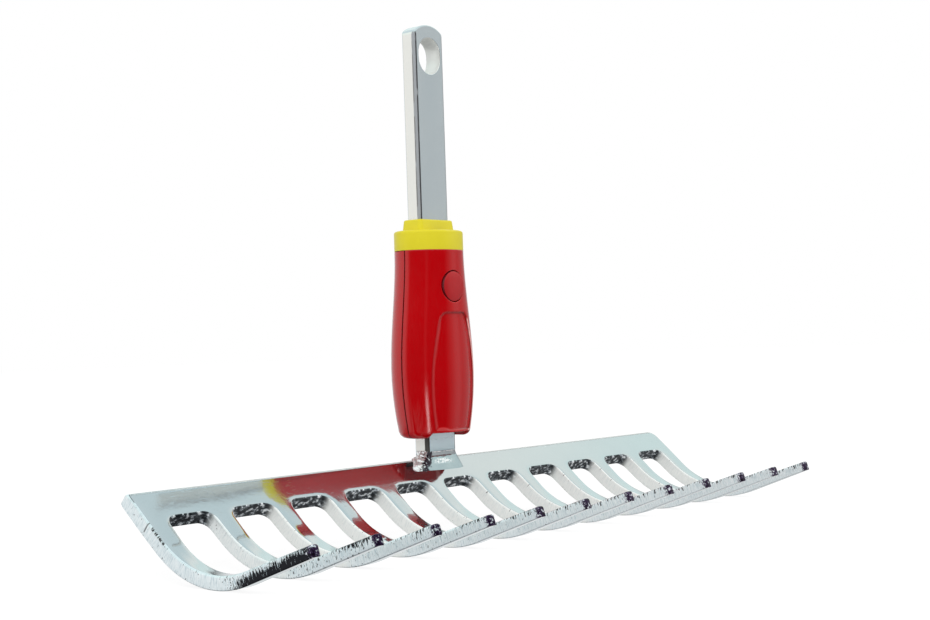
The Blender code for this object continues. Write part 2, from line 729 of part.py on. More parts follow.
def make_collar(material):
    rounding = COLLAR_EDGE_ROUNDING
    rings = []
    for angle in (0, 30, 60, 90):
        lean = math.radians(angle)
        inset = rounding * (1 - math.sin(lean))
        rings.append(oval(COLLAR_HALF_WIDTH - inset, COLLAR_HALF_DEPTH - inset,
                          -rounding * (1 - math.cos(lean))))
    rings.append(oval(COLLAR_HALF_WIDTH, COLLAR_HALF_DEPTH, -COLLAR_HEIGHT))
    collar = loft_object("collar", rings, material)

    def boss_ring(height, inset):
        outline = rounded_rectangle(BOSS_HALF_WIDTH - inset, BOSS_HALF_DEPTH - inset,
                                    BOSS_CORNER_RADIUS - inset / 2)
        return [(x, y, height) for x, y in outline]

    boss_rings = []
    for angle in (90, 60, 30, 0):
        lean = math.radians(angle)
        boss_rings.append(boss_ring(BOSS_HEIGHT - BOSS_EDGE_ROUNDING * (1 - math.sin(lean)),
                                    BOSS_TAPER + BOSS_EDGE_ROUNDING * (1 - math.cos(lean))))
    boss_rings.append(boss_ring(-COLLAR_ROOF / 2, 0))
    boss = loft_object("collar_boss", boss_rings)
    inner_width = COLLAR_HALF_WIDTH - COLLAR_SKIRT
    inner_depth = COLLAR_HALF_DEPTH - COLLAR_SKIRT
    hollow = loft_object("collar_hollow", [
        oval(inner_width, inner_depth, -COLLAR_ROOF),
        oval(inner_width, inner_depth, -COLLAR_HEIGHT - COLLAR_ROOF)])
    slot_back = -BOSS_HALF_DEPTH - GAP
    hook_slot = box_object("hook_slot",
                           (-HOOK_SLOT_WIDTH / 2, slot_back - HOOK_SLOT_DEPTH, -COLLAR_HEIGHT),
                           (HOOK_SLOT_WIDTH / 2, slot_back, BOSS_HEIGHT))
    join(collar, boss)
    cut(collar, hollow, hook_slot, tang_space("collar_tang_slot", -COLLAR_HEIGHT * 2, TANG_RISE / 2))
    shade_smooth(collar)
    return collar


# Push button and latch

def button_front():
    """Y of the button's rim at rest: the grip's crown at the button, and a little prouder."""
    crown = grip_half_sizes(BUTTON_DROP + GRIP_TOP)[1]
    return -(crown + BUTTON_PROUD - BUTTON_CROWN)


def lever_front():
    return -(LEVER_BACK + LEVER_THICKNESS)


def make_button(material):
    """A turned cap with a crossbar behind the wall that keeps it in, and a stem to the lever."""
    front = button_front()
    bar_front = lever_front() - GAP - BUTTON_STEM_LENGTH - BUTTON_BAR_THICKNESS
    bar_back = bar_front + BUTTON_BAR_THICKNESS
    edge = BUTTON_EDGE_ROUNDING
    depth = bar_front - front
    flat = BUTTON_RADIUS - edge
    profile = [(r, BUTTON_CROWN * (1 - (r / flat) ** 2)) for r in (0.0, flat / 2, flat)]
    profile += [(BUTTON_RADIUS - edge * HALF_ROUND, -edge * HALF_ROUND), (BUTTON_RADIUS, -edge)]
    profile += [(BUTTON_RADIUS, -depth), (0.0, -depth)]
    mesh = bpy.data.meshes.new("push_button")
    mesh.from_pydata([(x, 0, z) for x, z in profile],
                     [(k, k + 1) for k in range(len(profile) - 1)], [])
    mesh.transform(Matrix.Rotation(math.pi / 2, 4, "X"))
    button = add_object("push_button", mesh, material)
    button.location = (0, front, -BUTTON_DROP)
    screw = button.modifiers.new("turned", "SCREW")
    screw.axis = "Y"
    screw.steps = ROUND_SEGMENTS
    screw.render_steps = ROUND_SEGMENTS
    screw.use_merge_vertices = True
    screw.merge_threshold = 0.0001
    bar = box_object("button_bar",
                     (-BUTTON_BAR_WIDTH / 2, bar_front - GAP, -BUTTON_DROP - BUTTON_BAR_HEIGHT / 2),
                     (BUTTON_BAR_WIDTH / 2, bar_back, -BUTTON_DROP + BUTTON_BAR_HEIGHT / 2))
    bm = bmesh.new()
    add_cylinder(bm, BUTTON_BAR_WIDTH / 2 - GAP, (0, bar_front, -BUTTON_DROP),
                 (0, lever_front() - GAP, -BUTTON_DROP))
    stem = object_from_bmesh("button_stem", bm)
    join(button, bar, stem)
    return button


def make_lever(material):
    """A stamped strip with a hooked nose at its top and a rolled eye at its foot."""
    back = -LEVER_BACK
    front = lever_front()
    nose = front - LEVER_NOSE
    top = -LEVER_TOP_DROP
    under = top - LEVER_NOSE_HEIGHT
    foot = -PIVOT_DROP + EYE_RADIUS + GAP
    side = [(back, foot), (back, top), (front, top), (nose, under + LEVER_NOSE_LIP),
            (nose, under), (front, under), (front, foot)]
    lever = plate_from_outline("latch_lever", [side], LEVER_WIDTH, material)
    lever.data.transform(Matrix(((0, 0, 1, 0), (1, 0, 0, 0), (0, 1, 0, 0), (0, 0, 0, 1))))
    middle = (back + front) / 2
    left = -LEVER_WIDTH / 2
    shank = box_object("lever_shank", (left, front, -PIVOT_DROP), (left + EYE_WIDTH, back, foot + GAP))
    bm = bmesh.new()
    add_cylinder(bm, EYE_RADIUS, (left, middle, -PIVOT_DROP), (left + EYE_WIDTH, middle, -PIVOT_DROP))
    eye = object_from_bmesh("lever_eye", bm)
    bm = bmesh.new()
    add_cylinder(bm, PIVOT_RADIUS + GAP, (-LEVER_WIDTH, middle, -PIVOT_DROP),
                 (LEVER_WIDTH, middle, -PIVOT_DROP))
    join(lever, shank, eye)
    cut(lever, object_from_bmesh("lever_bore", bm))
    origin = Vector((0, middle, -PIVOT_DROP))
    lever.data.transform(Matrix.Translation(-origin))
    lever.location = origin
    return lever


def make_latch_pin(material):
    middle = -(LEVER_BACK + LEVER_THICKNESS / 2)
    reach = LEVER_WIDTH / 2 + GAP + LUG_THICKNESS
    bm = bmesh.new()
    add_cylinder(bm, PIVOT_RADIUS, (-reach, middle, -PIVOT_DROP), (reach, middle, -PIVOT_DROP))
    pin = object_from_bmesh("latch_pin", bm, material)
    shade_smooth(pin)
    return pin


def make_latch_spring(material):
    """A torsion spring round the pivot pin. One leg pushes the lever forward, one rests behind."""
    middle = -(LEVER_BACK + LEVER_THICKNESS / 2)
    start = -LEVER_WIDTH / 2 + EYE_WIDTH + GAP + SPRING_WIRE / 2
    end = LEVER_WIDTH / 2 - SPRING_WIRE / 2
    steps = SPRING_STEPS
    turn = SPRING_TURNS * 2 * math.pi
    points = [(start, -(LEVER_BACK - GAP - SPRING_WIRE / 2), -PIVOT_DROP + SPRING_LEG)]
    for k in range(steps + 1):
        angle = turn * k / steps
        points.append((start + (end - start) * k / steps,
                       middle + SPRING_RADIUS * math.cos(angle),
                       -PIVOT_DROP + SPRING_RADIUS * math.sin(angle)))
    points.append((end, middle - SPRING_RADIUS, -PIVOT_DROP - SPRING_LEG / 2))
    curve = bpy.data.curves.new("latch_spring", "CURVE")
    curve.dimensions = "3D"
    curve.bevel_depth = SPRING_WIRE / 2
    curve.bevel_resolution = 2
    curve.use_fill_caps = True
    spline = curve.splines.new("POLY")
    spline.points.add(len(points) - 1)
    for point, place in zip(spline.points, points):
        point.co = (*place, 1.0)
    curve.materials.append(material)
    spring = bpy.data.objects.new("latch_spring", curve)
    PARTS.objects.link(spring)
    return spring


# Pin and screws

def make_locating_pin(material):
    bm = bmesh.new()
    add_cylinder(bm, LOCATING_PIN_RADIUS, (0, -LOCATING_PIN_HALF_LENGTH, -LOCATING_PIN_DROP),
                 (0, LOCATING_PIN_HALF_LENGTH, -LOCATING_PIN_DROP), ROUND_SEGMENTS // 2)
    pin = object_from_bmesh("locating_pin", bm, material)
    shade_smooth(pin)
    return pin


def make_screw(name, side, material):
    """A pan-head screw from the rear: a turned outline from the head's top to the shank's end."""
    head = SCREW_SEAT + GAP + SCREW_HEAD_HEIGHT
    profile = [(0.0, 0.0), (SCREW_FACE_RADIUS, 0.0),
               (SCREW_HEAD_RADIUS, -SCREW_HEAD_CROWN), (SCREW_HEAD_RADIUS, -SCREW_HEAD_HEIGHT),
               (SCREW_SHANK_RADIUS, -SCREW_HEAD_HEIGHT), (SCREW_SHANK_RADIUS, -SCREW_REACH),
               (0.0, -SCREW_REACH - SCREW_SHANK_RADIUS / 2)]
    mesh = bpy.data.meshes.new(name)
    mesh.from_pydata([(x, 0, z) for x, z in profile],
                     [(k, k + 1) for k in range(len(profile) - 1)], [])
    mesh.transform(Matrix.Rotation(-math.pi / 2, 4, "X"))
    screw = add_object(name, mesh, material)
    screw.location = (side, head, -SCREW_DROP)
    turned = screw.modifiers.new("turned", "SCREW")
    turned.axis = "Y"
    turned.steps = SMALL_SEGMENTS
    turned.render_steps = SMALL_SEGMENTS
    turned.use_merge_vertices = True
    turned.merge_threshold = 0.0001
    return screw


def build():
    clear_scene()
    zinc = make_material("bright_zinc", (0.80, 0.83, 0.85), 0.12, 1.0)
    satin = make_material("satin_zinc", (0.66, 0.70, 0.73), 0.3, 1.0)
    bead = make_material("weld_metal", (0.62, 0.64, 0.66), 0.25, 1.0)
    red = make_material("red_plastic", (0.52, 0.005, 0.015), 0.3)
    red_button = make_material("red_button_plastic", (0.46, 0.01, 0.02), 0.35)
    yellow = make_material("yellow_plastic", (0.80, 0.70, 0.02), 0.4)
    spring_steel = make_material("spring_steel", (0.30, 0.30, 0.31), 0.35, 1.0)
    steel = make_material("plain_steel", (0.45, 0.45, 0.46), 0.35, 1.0)
    make_comb(zinc)
    make_tang(satin)
    make_weld(bead)
    make_rear_shell(red)
    make_front_shell(red)
    make_collar(yellow)
    make_button(red_button)
    make_lever(steel)
    make_latch_pin(steel)
    make_latch_spring(spring_steel)
    make_locating_pin(steel)
    make_screw("shell_screw_left", -SCREW_SIDE, steel)
    make_screw("shell_screw_right", SCREW_SIDE, steel)


build()
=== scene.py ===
# %% [markdown]
# # A garden rake head, dressed for its portrait
#
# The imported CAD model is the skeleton: thirteen solids with the right sizes and the right joints.
# This lesson gives them their looks. The stamped comb, its weld, the flat tang and the grip's front
# shell are made anew as numpy surfaces, because bright zinc and glossy plastic show every facet.
# The other nine parts keep their CAD solids and get finishes.
#
# Everything is in metres, in the CAD's own frame: +X runs along the comb, +Z up the tang, and -Y
# is the front, where the button is. The origin lies on the tang's axis at the collar's shoulder.

import math

import bmesh
import bpy
import numpy as np
from mathutils import Matrix, Vector


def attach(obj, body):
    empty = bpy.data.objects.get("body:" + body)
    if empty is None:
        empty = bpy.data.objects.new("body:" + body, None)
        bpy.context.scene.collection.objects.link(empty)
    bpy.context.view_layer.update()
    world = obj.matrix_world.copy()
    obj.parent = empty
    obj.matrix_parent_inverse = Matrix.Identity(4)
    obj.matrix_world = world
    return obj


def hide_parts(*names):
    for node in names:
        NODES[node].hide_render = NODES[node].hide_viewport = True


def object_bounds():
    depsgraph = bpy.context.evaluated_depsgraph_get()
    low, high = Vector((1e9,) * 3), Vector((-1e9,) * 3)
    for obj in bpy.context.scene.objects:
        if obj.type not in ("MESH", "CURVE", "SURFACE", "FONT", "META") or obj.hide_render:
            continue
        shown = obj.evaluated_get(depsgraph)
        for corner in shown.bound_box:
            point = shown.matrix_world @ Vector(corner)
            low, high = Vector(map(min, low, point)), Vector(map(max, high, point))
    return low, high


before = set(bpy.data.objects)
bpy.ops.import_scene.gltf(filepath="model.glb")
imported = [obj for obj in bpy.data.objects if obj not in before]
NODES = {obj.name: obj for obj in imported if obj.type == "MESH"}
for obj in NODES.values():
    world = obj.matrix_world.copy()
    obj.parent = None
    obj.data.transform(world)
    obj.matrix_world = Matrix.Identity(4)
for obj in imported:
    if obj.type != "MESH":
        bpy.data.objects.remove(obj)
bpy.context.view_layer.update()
MM = 0.001
print("CAD nodes:", ", ".join(sorted(NODES)))

# %% [markdown]
# ## The camera
#
# A camera is set by where it stands, which way its three axes point, and how long its lens is.
# These values come from a fit: about a hundred corners of the comb and the grip were measured in
# the photograph, and the camera was moved until the CAD model's corners fell on them. It stands
# at the front left, less than a metre away and a little below the collar, and looks very slightly
# up.

# %% Camera
CAMERA_PLACE = (-0.534090, -0.474319, -0.050108)
CAMERA_RIGHT = Vector((0.64768433, -0.76116726, -0.03360657))
CAMERA_UP = Vector((0.00722176, -0.0379733, 0.99925266))
CAMERA_LOOK = Vector((0.76187456, 0.64744299, 0.01909774))
SENSOR_WIDTH = 36.0
FOCAL_PIXELS = 1560.496
PICTURE_WIDTH = 930
CLIP = (0.01, 50)


def make_camera():
    """The lens is the focal length in pixels times the width of one pixel on the sensor."""
    camera = bpy.data.cameras.new("camera")
    camera.sensor_width = SENSOR_WIDTH
    camera.lens = FOCAL_PIXELS * SENSOR_WIDTH / PICTURE_WIDTH
    camera.clip_start, camera.clip_end = CLIP
    obj = bpy.data.objects.new("camera", camera)
    bpy.context.scene.collection.objects.link(obj)
    axes = Matrix((CAMERA_RIGHT, CAMERA_UP, -CAMERA_LOOK)).transposed().to_4x4()
    obj.matrix_world = Matrix.Translation(CAMERA_PLACE) @ axes
    bpy.context.scene.camera = obj
    return camera


print("camera lens in mm:", round(make_camera().lens, 1))

# %% [markdown]
# ## Node helpers
#
# A material is a small graph of nodes, and so is the world. It could be wired by hand, node by
# node, but a rule such as "dark where the tip begins" is really a sum. So a node's output is
# wrapped as a wire that can be added, subtracted and multiplied like a number, and each sign adds
# a Math node.

# %% Wires


def sign(operation):
    """A method that joins a wire with a number or a second wire in a Math node."""
    return lambda self, other=0.0: self.graph.math(operation, self, other)


class Wire:
    """A node's output to reckon with. a | b is the larger of the two: what either mask covers."""

    def __init__(self, graph, socket):
        self.graph, self.socket = graph, socket

    __add__, __sub__, __mul__ = sign("ADD"), sign("SUBTRACT"), sign("MULTIPLY")
    __or__, __abs__ = sign("MAXIMUM"), sign("ABSOLUTE")

    def __rsub__(self, other):
        return self.graph.math("SUBTRACT", other, self)

    def span(self, low, high, first=0.0, last=1.0):
        """This wire led from low..high to first..last on an S curve, and held at both ends."""
        return self.graph.out("MapRange", 0, self, low, high, first, last,
                              interpolation_type="SMOOTHSTEP")

    def fall(self, low, high):
        """A mask that falls from one to nothing between low and high."""
        return self.span(low, high, 1.0, 0.0)

    def between(self, rise_low, rise_high, fall_low, fall_high):
        """A mask that rises between the first two numbers and falls between the last two."""
        return self.span(rise_low, rise_high) * self.fall(fall_low, fall_high)

    def parts(self):
        """The x, y and z of a vector."""
        return [Wire(self.graph, output) for output in self.graph.add("SeparateXYZ", self).outputs]


print("a wire knows the signs + - * | and abs()")

# %% [markdown]
# A graph adds all other nodes, and a finish is a graph that starts with a Principled shader. Its
# uniform values are set on the shader's own sockets, where an exporter finds them.

# %% Graphs and finishes


class Graph:
    """Short calls that add and wire the nodes of one node tree."""

    def __init__(self, tree, prefix="ShaderNode"):
        self.tree, self.prefix = tree, prefix

    def plug(self, value, target):
        """Wire an output to a socket, or write a number, a vector or a colour on it."""
        value = getattr(value, "socket", value)
        if hasattr(value, "is_output"):
            self.tree.links.new(value, target)
        else:
            target.default_value = (*value, 1) if target.type == "RGBA" else value

    def add(self, kind, *plugs, **values):
        """A node of that kind. values go to a setting or a socket by name, with _ for a space, and
        plugs to its sockets in their order."""
        node = self.tree.nodes.new(self.prefix + kind)
        for name, value in values.items():
            socket = name.replace("_", " ")
            if socket in node.inputs:
                self.plug(value, node.inputs[socket])
            else:
                setattr(node, name, value)
        for value, socket in zip(plugs, node.inputs):
            self.plug(value, socket)
        return node

    def out(self, kind, output=0, *plugs, **values):
        """One output of such a node, by its number or name, as a wire."""
        return Wire(self, self.add(kind, *plugs, **values).outputs[output])

    def math(self, operation, first, second=0.0):
        return self.out("Math", 0, first, second, operation=operation)

    def mix(self, factor, first, second, blend="MIX"):
        """A colour between two, where each is a colour or a wire."""
        node = self.add("Mix", data_type="RGBA", blend_type=blend)
        for slot, value in ((0, factor), (6, first), (7, second)):
            self.plug(value, node.inputs[slot])
        return Wire(self, node.outputs[2])

    def ramp(self, factor, *stops):
        """A ramp from (position, value) or (position, (r, g, b)) stops."""
        node = self.add("ValToRGB", factor)
        elements = node.color_ramp.elements
        while len(elements) < len(stops):
            elements.new(0.5)
        for element, (position, value) in zip(elements, stops):
            element.position = position
            colour = (value,) * 3 if isinstance(value, (int, float)) else value
            element.color = (*colour, 1)
        return Wire(self, node.outputs[0])

    def stretch(self, source, scale, location=(0, 0, 0)):
        return self.out("Mapping", Vector=source, Scale=scale, Location=location)

    def place(self, scale=(1, 1, 1)):
        """Object coordinates, stretched by a Mapping node."""
        return self.stretch(self.out("TexCoord", "Object"), scale)

    def noise(self, place, scale, detail=3.0, roughness=0.55):
        return self.out("TexNoise", "Fac", Vector=place, Scale=scale, Detail=detail,
                        Roughness=roughness)

    def bump(self, *layers):
        """Bump nodes, one on another, from (height, strength, distance) layers."""
        before = {}
        for height, strength, distance in layers:
            normal = self.out("Bump", Height=height, Strength=strength, Distance=distance, **before)
            before = {"Normal": normal}
        return normal

    def uv(self, layer):
        """A named UV map as a vector, and its U and V."""
        source = self.out("UVMap", uv_map=layer)
        return (source, *source.parts()[:2])

    def facing(self):
        """The x, y and z of the surface's normal."""
        return self.out("NewGeometry", "Normal").parts()


class Finish(Graph):
    """A material with one Principled shader, whose sockets are set or wired by their names."""

    def __init__(self, name, colour, metallic, roughness, **values):
        self.material = bpy.data.materials.new(name)
        self.material.use_nodes = True
        super().__init__(self.material.node_tree)
        self.shader = self.tree.nodes["Principled BSDF"]
        self.set(Base_Color=colour, Metallic=metallic, Roughness=roughness, **values)

    def set(self, **values):
        for name, value in values.items():
            self.plug(value, self.shader.inputs[name.replace("_", " ")])

    def mark(self, *marks):
        """Blend (share, colour) marks, one after another, over what the base colour has so far."""
        for share, colour in marks:
            before = self.shader.inputs["Base Color"].links[0].from_socket
            self.set(Base_Color=self.mix(share, before, colour))


print("finishes start from", Graph.__name__)

# %% [markdown]
# ## The stage
#
# The object stands on a plain pale floor in a white room. The white that the camera sees is the
# colour of the floor and the world, and not light on the object: the Light Path node tells a ray
# that comes straight from the camera from one that only lights the object. Bright metal is a
# mirror, so what it mirrors matters as much as the lamps. A metal photographer surrounds it with
# white sheets, leaves a dark gap where the camera stands, and sets up one narrow lamp for a streak
# of light on the plastic. The world does the same for reflected rays, by compass and by height.

# %% World
WHITE = (1.0, 1.0, 1.0)
DIFFUSE_LEVEL = 0.78
# Compass stops run from -X through -Y, where the camera stands at 0.11, and +X to +Y and -X.
COMPASS = ((0.0, 0.05), (0.04, 0.01), (0.085, 0.0), (0.31, 0.01), (0.35, 0.36), (0.378, 0.66),
           (0.40, 0.66), (0.43, 0.36), (0.52, 0.40), (0.60, 0.85), (0.86, 1.0), (0.945, 1.0),
           (0.985, 0.05))
SHEETS = (0.965, 0.99, 1.0)
SKY = ((0.56, (0.96, 1.13, 1.11)), (0.64, (1.13, 1.18, 1.14)), (0.76, (0.81, 0.96, 0.99)),
       (1.0, (0.93, 1.04, 1.07)))
GROUND = (0.26, 0.27, 0.28)
STREAK_COMPASS = 0.160
STREAK_LEVEL = 7.5
STREAK_ABOVE = 0.02


def make_world():
    """What a ray meets, by its compass turn, 0 to 1, and by its rise, -1 to 1."""
    world = bpy.data.worlds.new("white_room")
    bpy.context.scene.world = world
    world.use_nodes = True
    world.node_tree.nodes.clear()
    g = Graph(world.node_tree)
    x, y, rise = g.out("TexCoord", "Generated").parts()
    turn = g.math("ARCTAN2", y, x) * (0.5 / math.pi) + 0.5
    walls = g.mix(g.ramp(turn, *COMPASS), (0, 0, 0), SHEETS)
    # A narrow lamp low at the front: bright within one hundredth of the compass, below eye level.
    lamp = abs(turn - STREAK_COMPASS).span(0.004, 0.016, STREAK_LEVEL, 0.0)
    lamp = lamp * rise.span(-0.26, -0.07, 1.0, STREAK_ABOVE) * rise.span(-0.75, -0.6)
    lit = g.mix(1.0, g.mix(rise.span(-0.52, -0.30), GROUND, walls), lamp, "ADD")
    dome = g.mix(rise.span(0.20, 0.50), lit, g.ramp(rise, *SKY))
    path = g.add("LightPath").outputs
    mirrored = g.math("MAXIMUM", path["Is Glossy Ray"], path["Is Transmission Ray"])
    seen = g.mix(mirrored, (DIFFUSE_LEVEL,) * 3, dome)
    colour = g.mix(path["Is Camera Ray"], seen, WHITE)
    g.add("OutputWorld", Surface=g.out("Background", Color=colour))
    return world


bpy.context.scene.view_settings.view_transform = "Standard"
print("world:", make_world().name)

# %% [markdown]
# The floor is a plain sheet at the height of the lowest tines. To the camera it glows almost
# white by itself, and the little light that it still scatters carries the object's soft shadow.
# Mirrored rays pass it by and meet the room's own ground colour.

# %% Floor
FLOOR_HALF = 6.0
FLOOR_GLOW = 0.88
FLOOR_GREY = (0.58, 0.58, 0.58)
SHADOW_GREY = (0.17, 0.17, 0.17)
FLOOR_GAP = 0.1 * MM


def make_floor(height):
    """A square sheet. The camera sees a glow plus a thin grey, and all other rays a plain grey."""
    signs = ((-1, -1), (1, -1), (1, 1), (-1, 1))
    corners = [(x * FLOOR_HALF, y * FLOOR_HALF, height) for x, y in signs]
    mesh = bpy.data.meshes.new("floor")
    mesh.from_pydata(corners, [], [(0, 1, 2, 3)])
    floor = bpy.data.objects.new("floor", mesh)
    bpy.context.scene.collection.objects.link(floor)
    f = Finish("floor_paper", FLOOR_GREY, 0.0, 0.9, Specular_IOR_Level=0.0)
    glow = f.out("Emission", Color=WHITE, Strength=FLOOR_GLOW)
    both = f.out("AddShader", 0, glow, f.out("BsdfDiffuse", Color=SHADOW_GREY))
    camera_ray = f.out("LightPath", "Is Camera Ray")
    choice = f.out("MixShader", 0, camera_ray, f.shader.outputs[0], both)
    f.plug(choice, f.tree.nodes["Material Output"].inputs["Surface"])
    mesh.materials.append(f.material)
    floor.visible_glossy = False


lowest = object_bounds()[0].z
make_floor(lowest - FLOOR_GAP)
print("floor height in mm:", round(lowest / MM, 1))

# %% [markdown]
# Two large soft lamps give the plastic its form: a main one high at the front left, and a weaker
# one at the right. They don't show in reflections, where the white room does their work.

# %% Lamps


def make_softbox(name, place, target, size, power):
    """A square lamp that looks from its place to its target."""
    light = bpy.data.lights.new(name, "AREA")
    light.shape, light.size, light.energy = "SQUARE", size, power
    lamp = bpy.data.objects.new(name, light)
    bpy.context.scene.collection.objects.link(lamp)
    lamp.location = place
    lamp.rotation_mode = "QUATERNION"
    lamp.rotation_quaternion = (Vector(target) - Vector(place)).to_track_quat("-Z", "Y")
    lamp.visible_glossy = False
    return lamp


main = make_softbox("main_softbox", (-0.9, -0.7, 1.0), (0, 0, -0.03), 0.9, 9.0)
side = make_softbox("side_softbox", (1.1, -0.5, 0.5), (0, 0, -0.05), 0.9, 3.0)
print("softboxes in watts:", main.data.energy, side.data.energy)

# %% [markdown]
# ## From arrays to meshes
#
# Each new piece is a set of grids: arrays of points with a row and a column direction. A grid
# becomes quads between neighbouring rows and columns. Where two grids share a border, their
# points coincide, and merging by distance closes the seam. Each grid also brings pairs of
# numbers per point, which become UV maps for the finish.

# %% Grid meshes
MERGE = 0.0001 * MM


def together(*parts):
    """Points from their parts: numbers and arrays, spread to one shape and put side by side."""
    return np.stack(np.broadcast_arrays(*parts), axis=-1)


def grid_faces(rows, columns):
    """Quads between the neighbours of a grid whose points are numbered row by row."""
    index = np.arange(rows * columns).reshape(rows, columns)
    return together(index[:-1, :-1], index[:-1, 1:], index[1:, 1:], index[1:, :-1])


def finish_piece(name, points, faces, maps, materials, index=0):
    """Make the mesh with its UV maps, merge its seams, turn its faces outwards, and place it."""
    mesh = bpy.data.meshes.new(name)
    mesh.from_pydata(points, [], faces)
    for layer, values in maps.items():
        data = values[faces.reshape(-1)].astype(np.float32)
        mesh.uv_layers.new(name=layer).data.foreach_set("uv", data.ravel())
    index = np.broadcast_to(index, len(faces)).astype(np.int32)
    mesh.polygons.foreach_set("material_index", index)
    mesh.polygons.foreach_set("use_smooth", np.ones(len(faces), bool))
    for material in materials:
        mesh.materials.append(material)
    bm = bmesh.new()
    bm.from_mesh(mesh)
    bmesh.ops.remove_doubles(bm, verts=bm.verts, dist=MERGE)
    bmesh.ops.recalc_face_normals(bm, faces=bm.faces)
    bm.to_mesh(mesh)
    open_edges = sum(1 for edge in bm.edges if len(edge.link_faces) != 2)
    bm.free()
    piece = bpy.data.objects.new(name, mesh)
    bpy.context.scene.collection.objects.link(piece)
    print(name, "faces:", len(mesh.polygons), "open edges:", open_edges)
    return piece


def build_piece(name, grids, materials):
    """One piece from several grids. A grid has points (rows, columns, 3), the number of its
    material, and pairs (rows, columns, 2) for the UV maps "surface" and "zone"."""
    points, faces, index = [], [], []
    maps = {"surface": [], "zone": []}
    first = 0
    for grid in grids:
        rows, columns = grid["points"].shape[:2]
        points.append(grid["points"].reshape(-1, 3))
        faces.append(grid_faces(rows, columns).reshape(-1, 4) + first)
        index.append(np.full(len(faces[-1]), grid.get("material", 0)))
        for layer, values in maps.items():
            values.append(grid.get(layer, np.zeros((rows, columns, 2))).reshape(-1, 2))
        first += rows * columns
    maps = {layer: np.concatenate(values) for layer, values in maps.items()}
    return finish_piece(name, np.concatenate(points), np.concatenate(faces), maps, materials,
                        np.concatenate(index))


print("a grid of 3 x 4 points has", grid_faces(3, 4).reshape(-1, 4).shape[0], "quads")

# %% [markdown]
# ## The comb
#
# The real comb is one sheet, 6 mm thick. A press punches the slots between twelve tapered tines,
# and a second stroke bends the tines up into a J. Its faces stay as smooth as the rolled sheet,
# and the zinc makes them mirrors. Its cut sides are rough, as metal is that was torn through.
#
# The same two steps make it here. First comes the flat blank, where a point has three numbers:
# x along the comb, s down the sheet from the back edge, and depth below the top face. Then one
# formula bends all the points.

# %% Comb sizes
COMB_LENGTH = 350.0 * MM
TINE_COUNT = 12
PLATE_CORNER = 5.0 * MM
LEFT_CORNER = 0.5 * MM
PLATE_SLOPE = math.radians(40.8)
RIDGE_Y = -1.24 * MM
RIDGE_Z = -102.35 * MM
FLAT_DEPTH = 26.4 * MM
BEND_RADIUS = 42.6 * MM
BEND_ANGLE = math.radians(59.7)
BEND_END = FLAT_DEPTH + BEND_RADIUS * BEND_ANGLE
TIP_END = BEND_END + 34.8 * MM
SLOT_START = 14.9 * MM
SLOT_CORNER = 4.5 * MM
TIP_CORNER = 1.1 * MM
ROOT_HALF = 4.85 * MM
TINE_PITCH = (COMB_LENGTH - 2 * ROOT_HALF) / (TINE_COUNT - 1)
TINE_CENTRES = -COMB_LENGTH / 2 + ROOT_HALF + TINE_PITCH * np.arange(TINE_COUNT)


def tine_half(s):
    """Half width of a tine: it tapers evenly to the end of the bend, and from there to its tip."""
    return np.interp(s, [SLOT_START, BEND_END, TIP_END], [ROOT_HALF, 2.95 * MM, 1.8 * MM])


def sheet_thickness(s):
    """6.1 mm on the flat, and evenly thinner from there to 4.5 mm at the tip."""
    return np.interp(s, [FLAT_DEPTH, TIP_END], [6.1 * MM, 4.5 * MM])


def bend(x, s, depth):
    """Bent place of a point of the blank.

    The sheet runs straight down the plate's slope, then round a circle whose centre lies above
    it, then straight on. A point at depth d lies d further from the circle's centre."""
    turned = np.clip((s - FLAT_DEPTH) / BEND_RADIUS, 0, BEND_ANGLE)
    before = np.minimum(s, FLAT_DEPTH)
    after = np.maximum(s - BEND_END, 0)
    centre_y = RIDGE_Y - before * math.cos(PLATE_SLOPE) - BEND_RADIUS * math.sin(PLATE_SLOPE)
    centre_z = RIDGE_Z - before * math.sin(PLATE_SLOPE) + BEND_RADIUS * math.cos(PLATE_SLOPE)
    slope = PLATE_SLOPE - turned
    reach = BEND_RADIUS + depth
    y = centre_y + reach * np.sin(slope) - after * np.cos(slope)
    z = centre_z - reach * np.cos(slope) - after * np.sin(slope)
    return together(x, y, z)


print("tine pitch in mm:", round(TINE_PITCH / MM, 2))

# %% [markdown]
# The outline of the blank is a chain of points, and each has four numbers: x, s and the two parts
# of its outward normal. An edge and its inset copy, moved inwards along the normals, share the
# same rows, so the flat faces and the rounded rim fit together without a gap.

# %% Comb outline
ARC_ROWS = 9
TIP_ROWS = 5
CORNER_ROWS = 6
FACE_COLUMNS = 10
ROOT_COLUMNS = 6
WEB_ROWS = 12
WEB_CROWDING = 1.6
FLAT_ROWS, BEND_ROWS, SHANK_ROWS = 5, 42, 16
SIDE_EDGE = {"top": 0.75 * MM, "bottom": 0.4 * MM, "side": 0.0}
BACK_EDGE = {"top": 1.9 * MM, "bottom": 0.6 * MM, "side": 0.0}
side_rows = np.concatenate([np.linspace(SLOT_START + SLOT_CORNER, FLAT_DEPTH, FLAT_ROWS)[:-1],
                            np.linspace(FLAT_DEPTH, BEND_END, BEND_ROWS)[:-1],
                            np.linspace(BEND_END, TIP_END - TIP_CORNER, SHANK_ROWS)])


def quarter(count):
    """Angles that divide a right angle evenly."""
    return np.linspace(0, math.pi / 2, count)


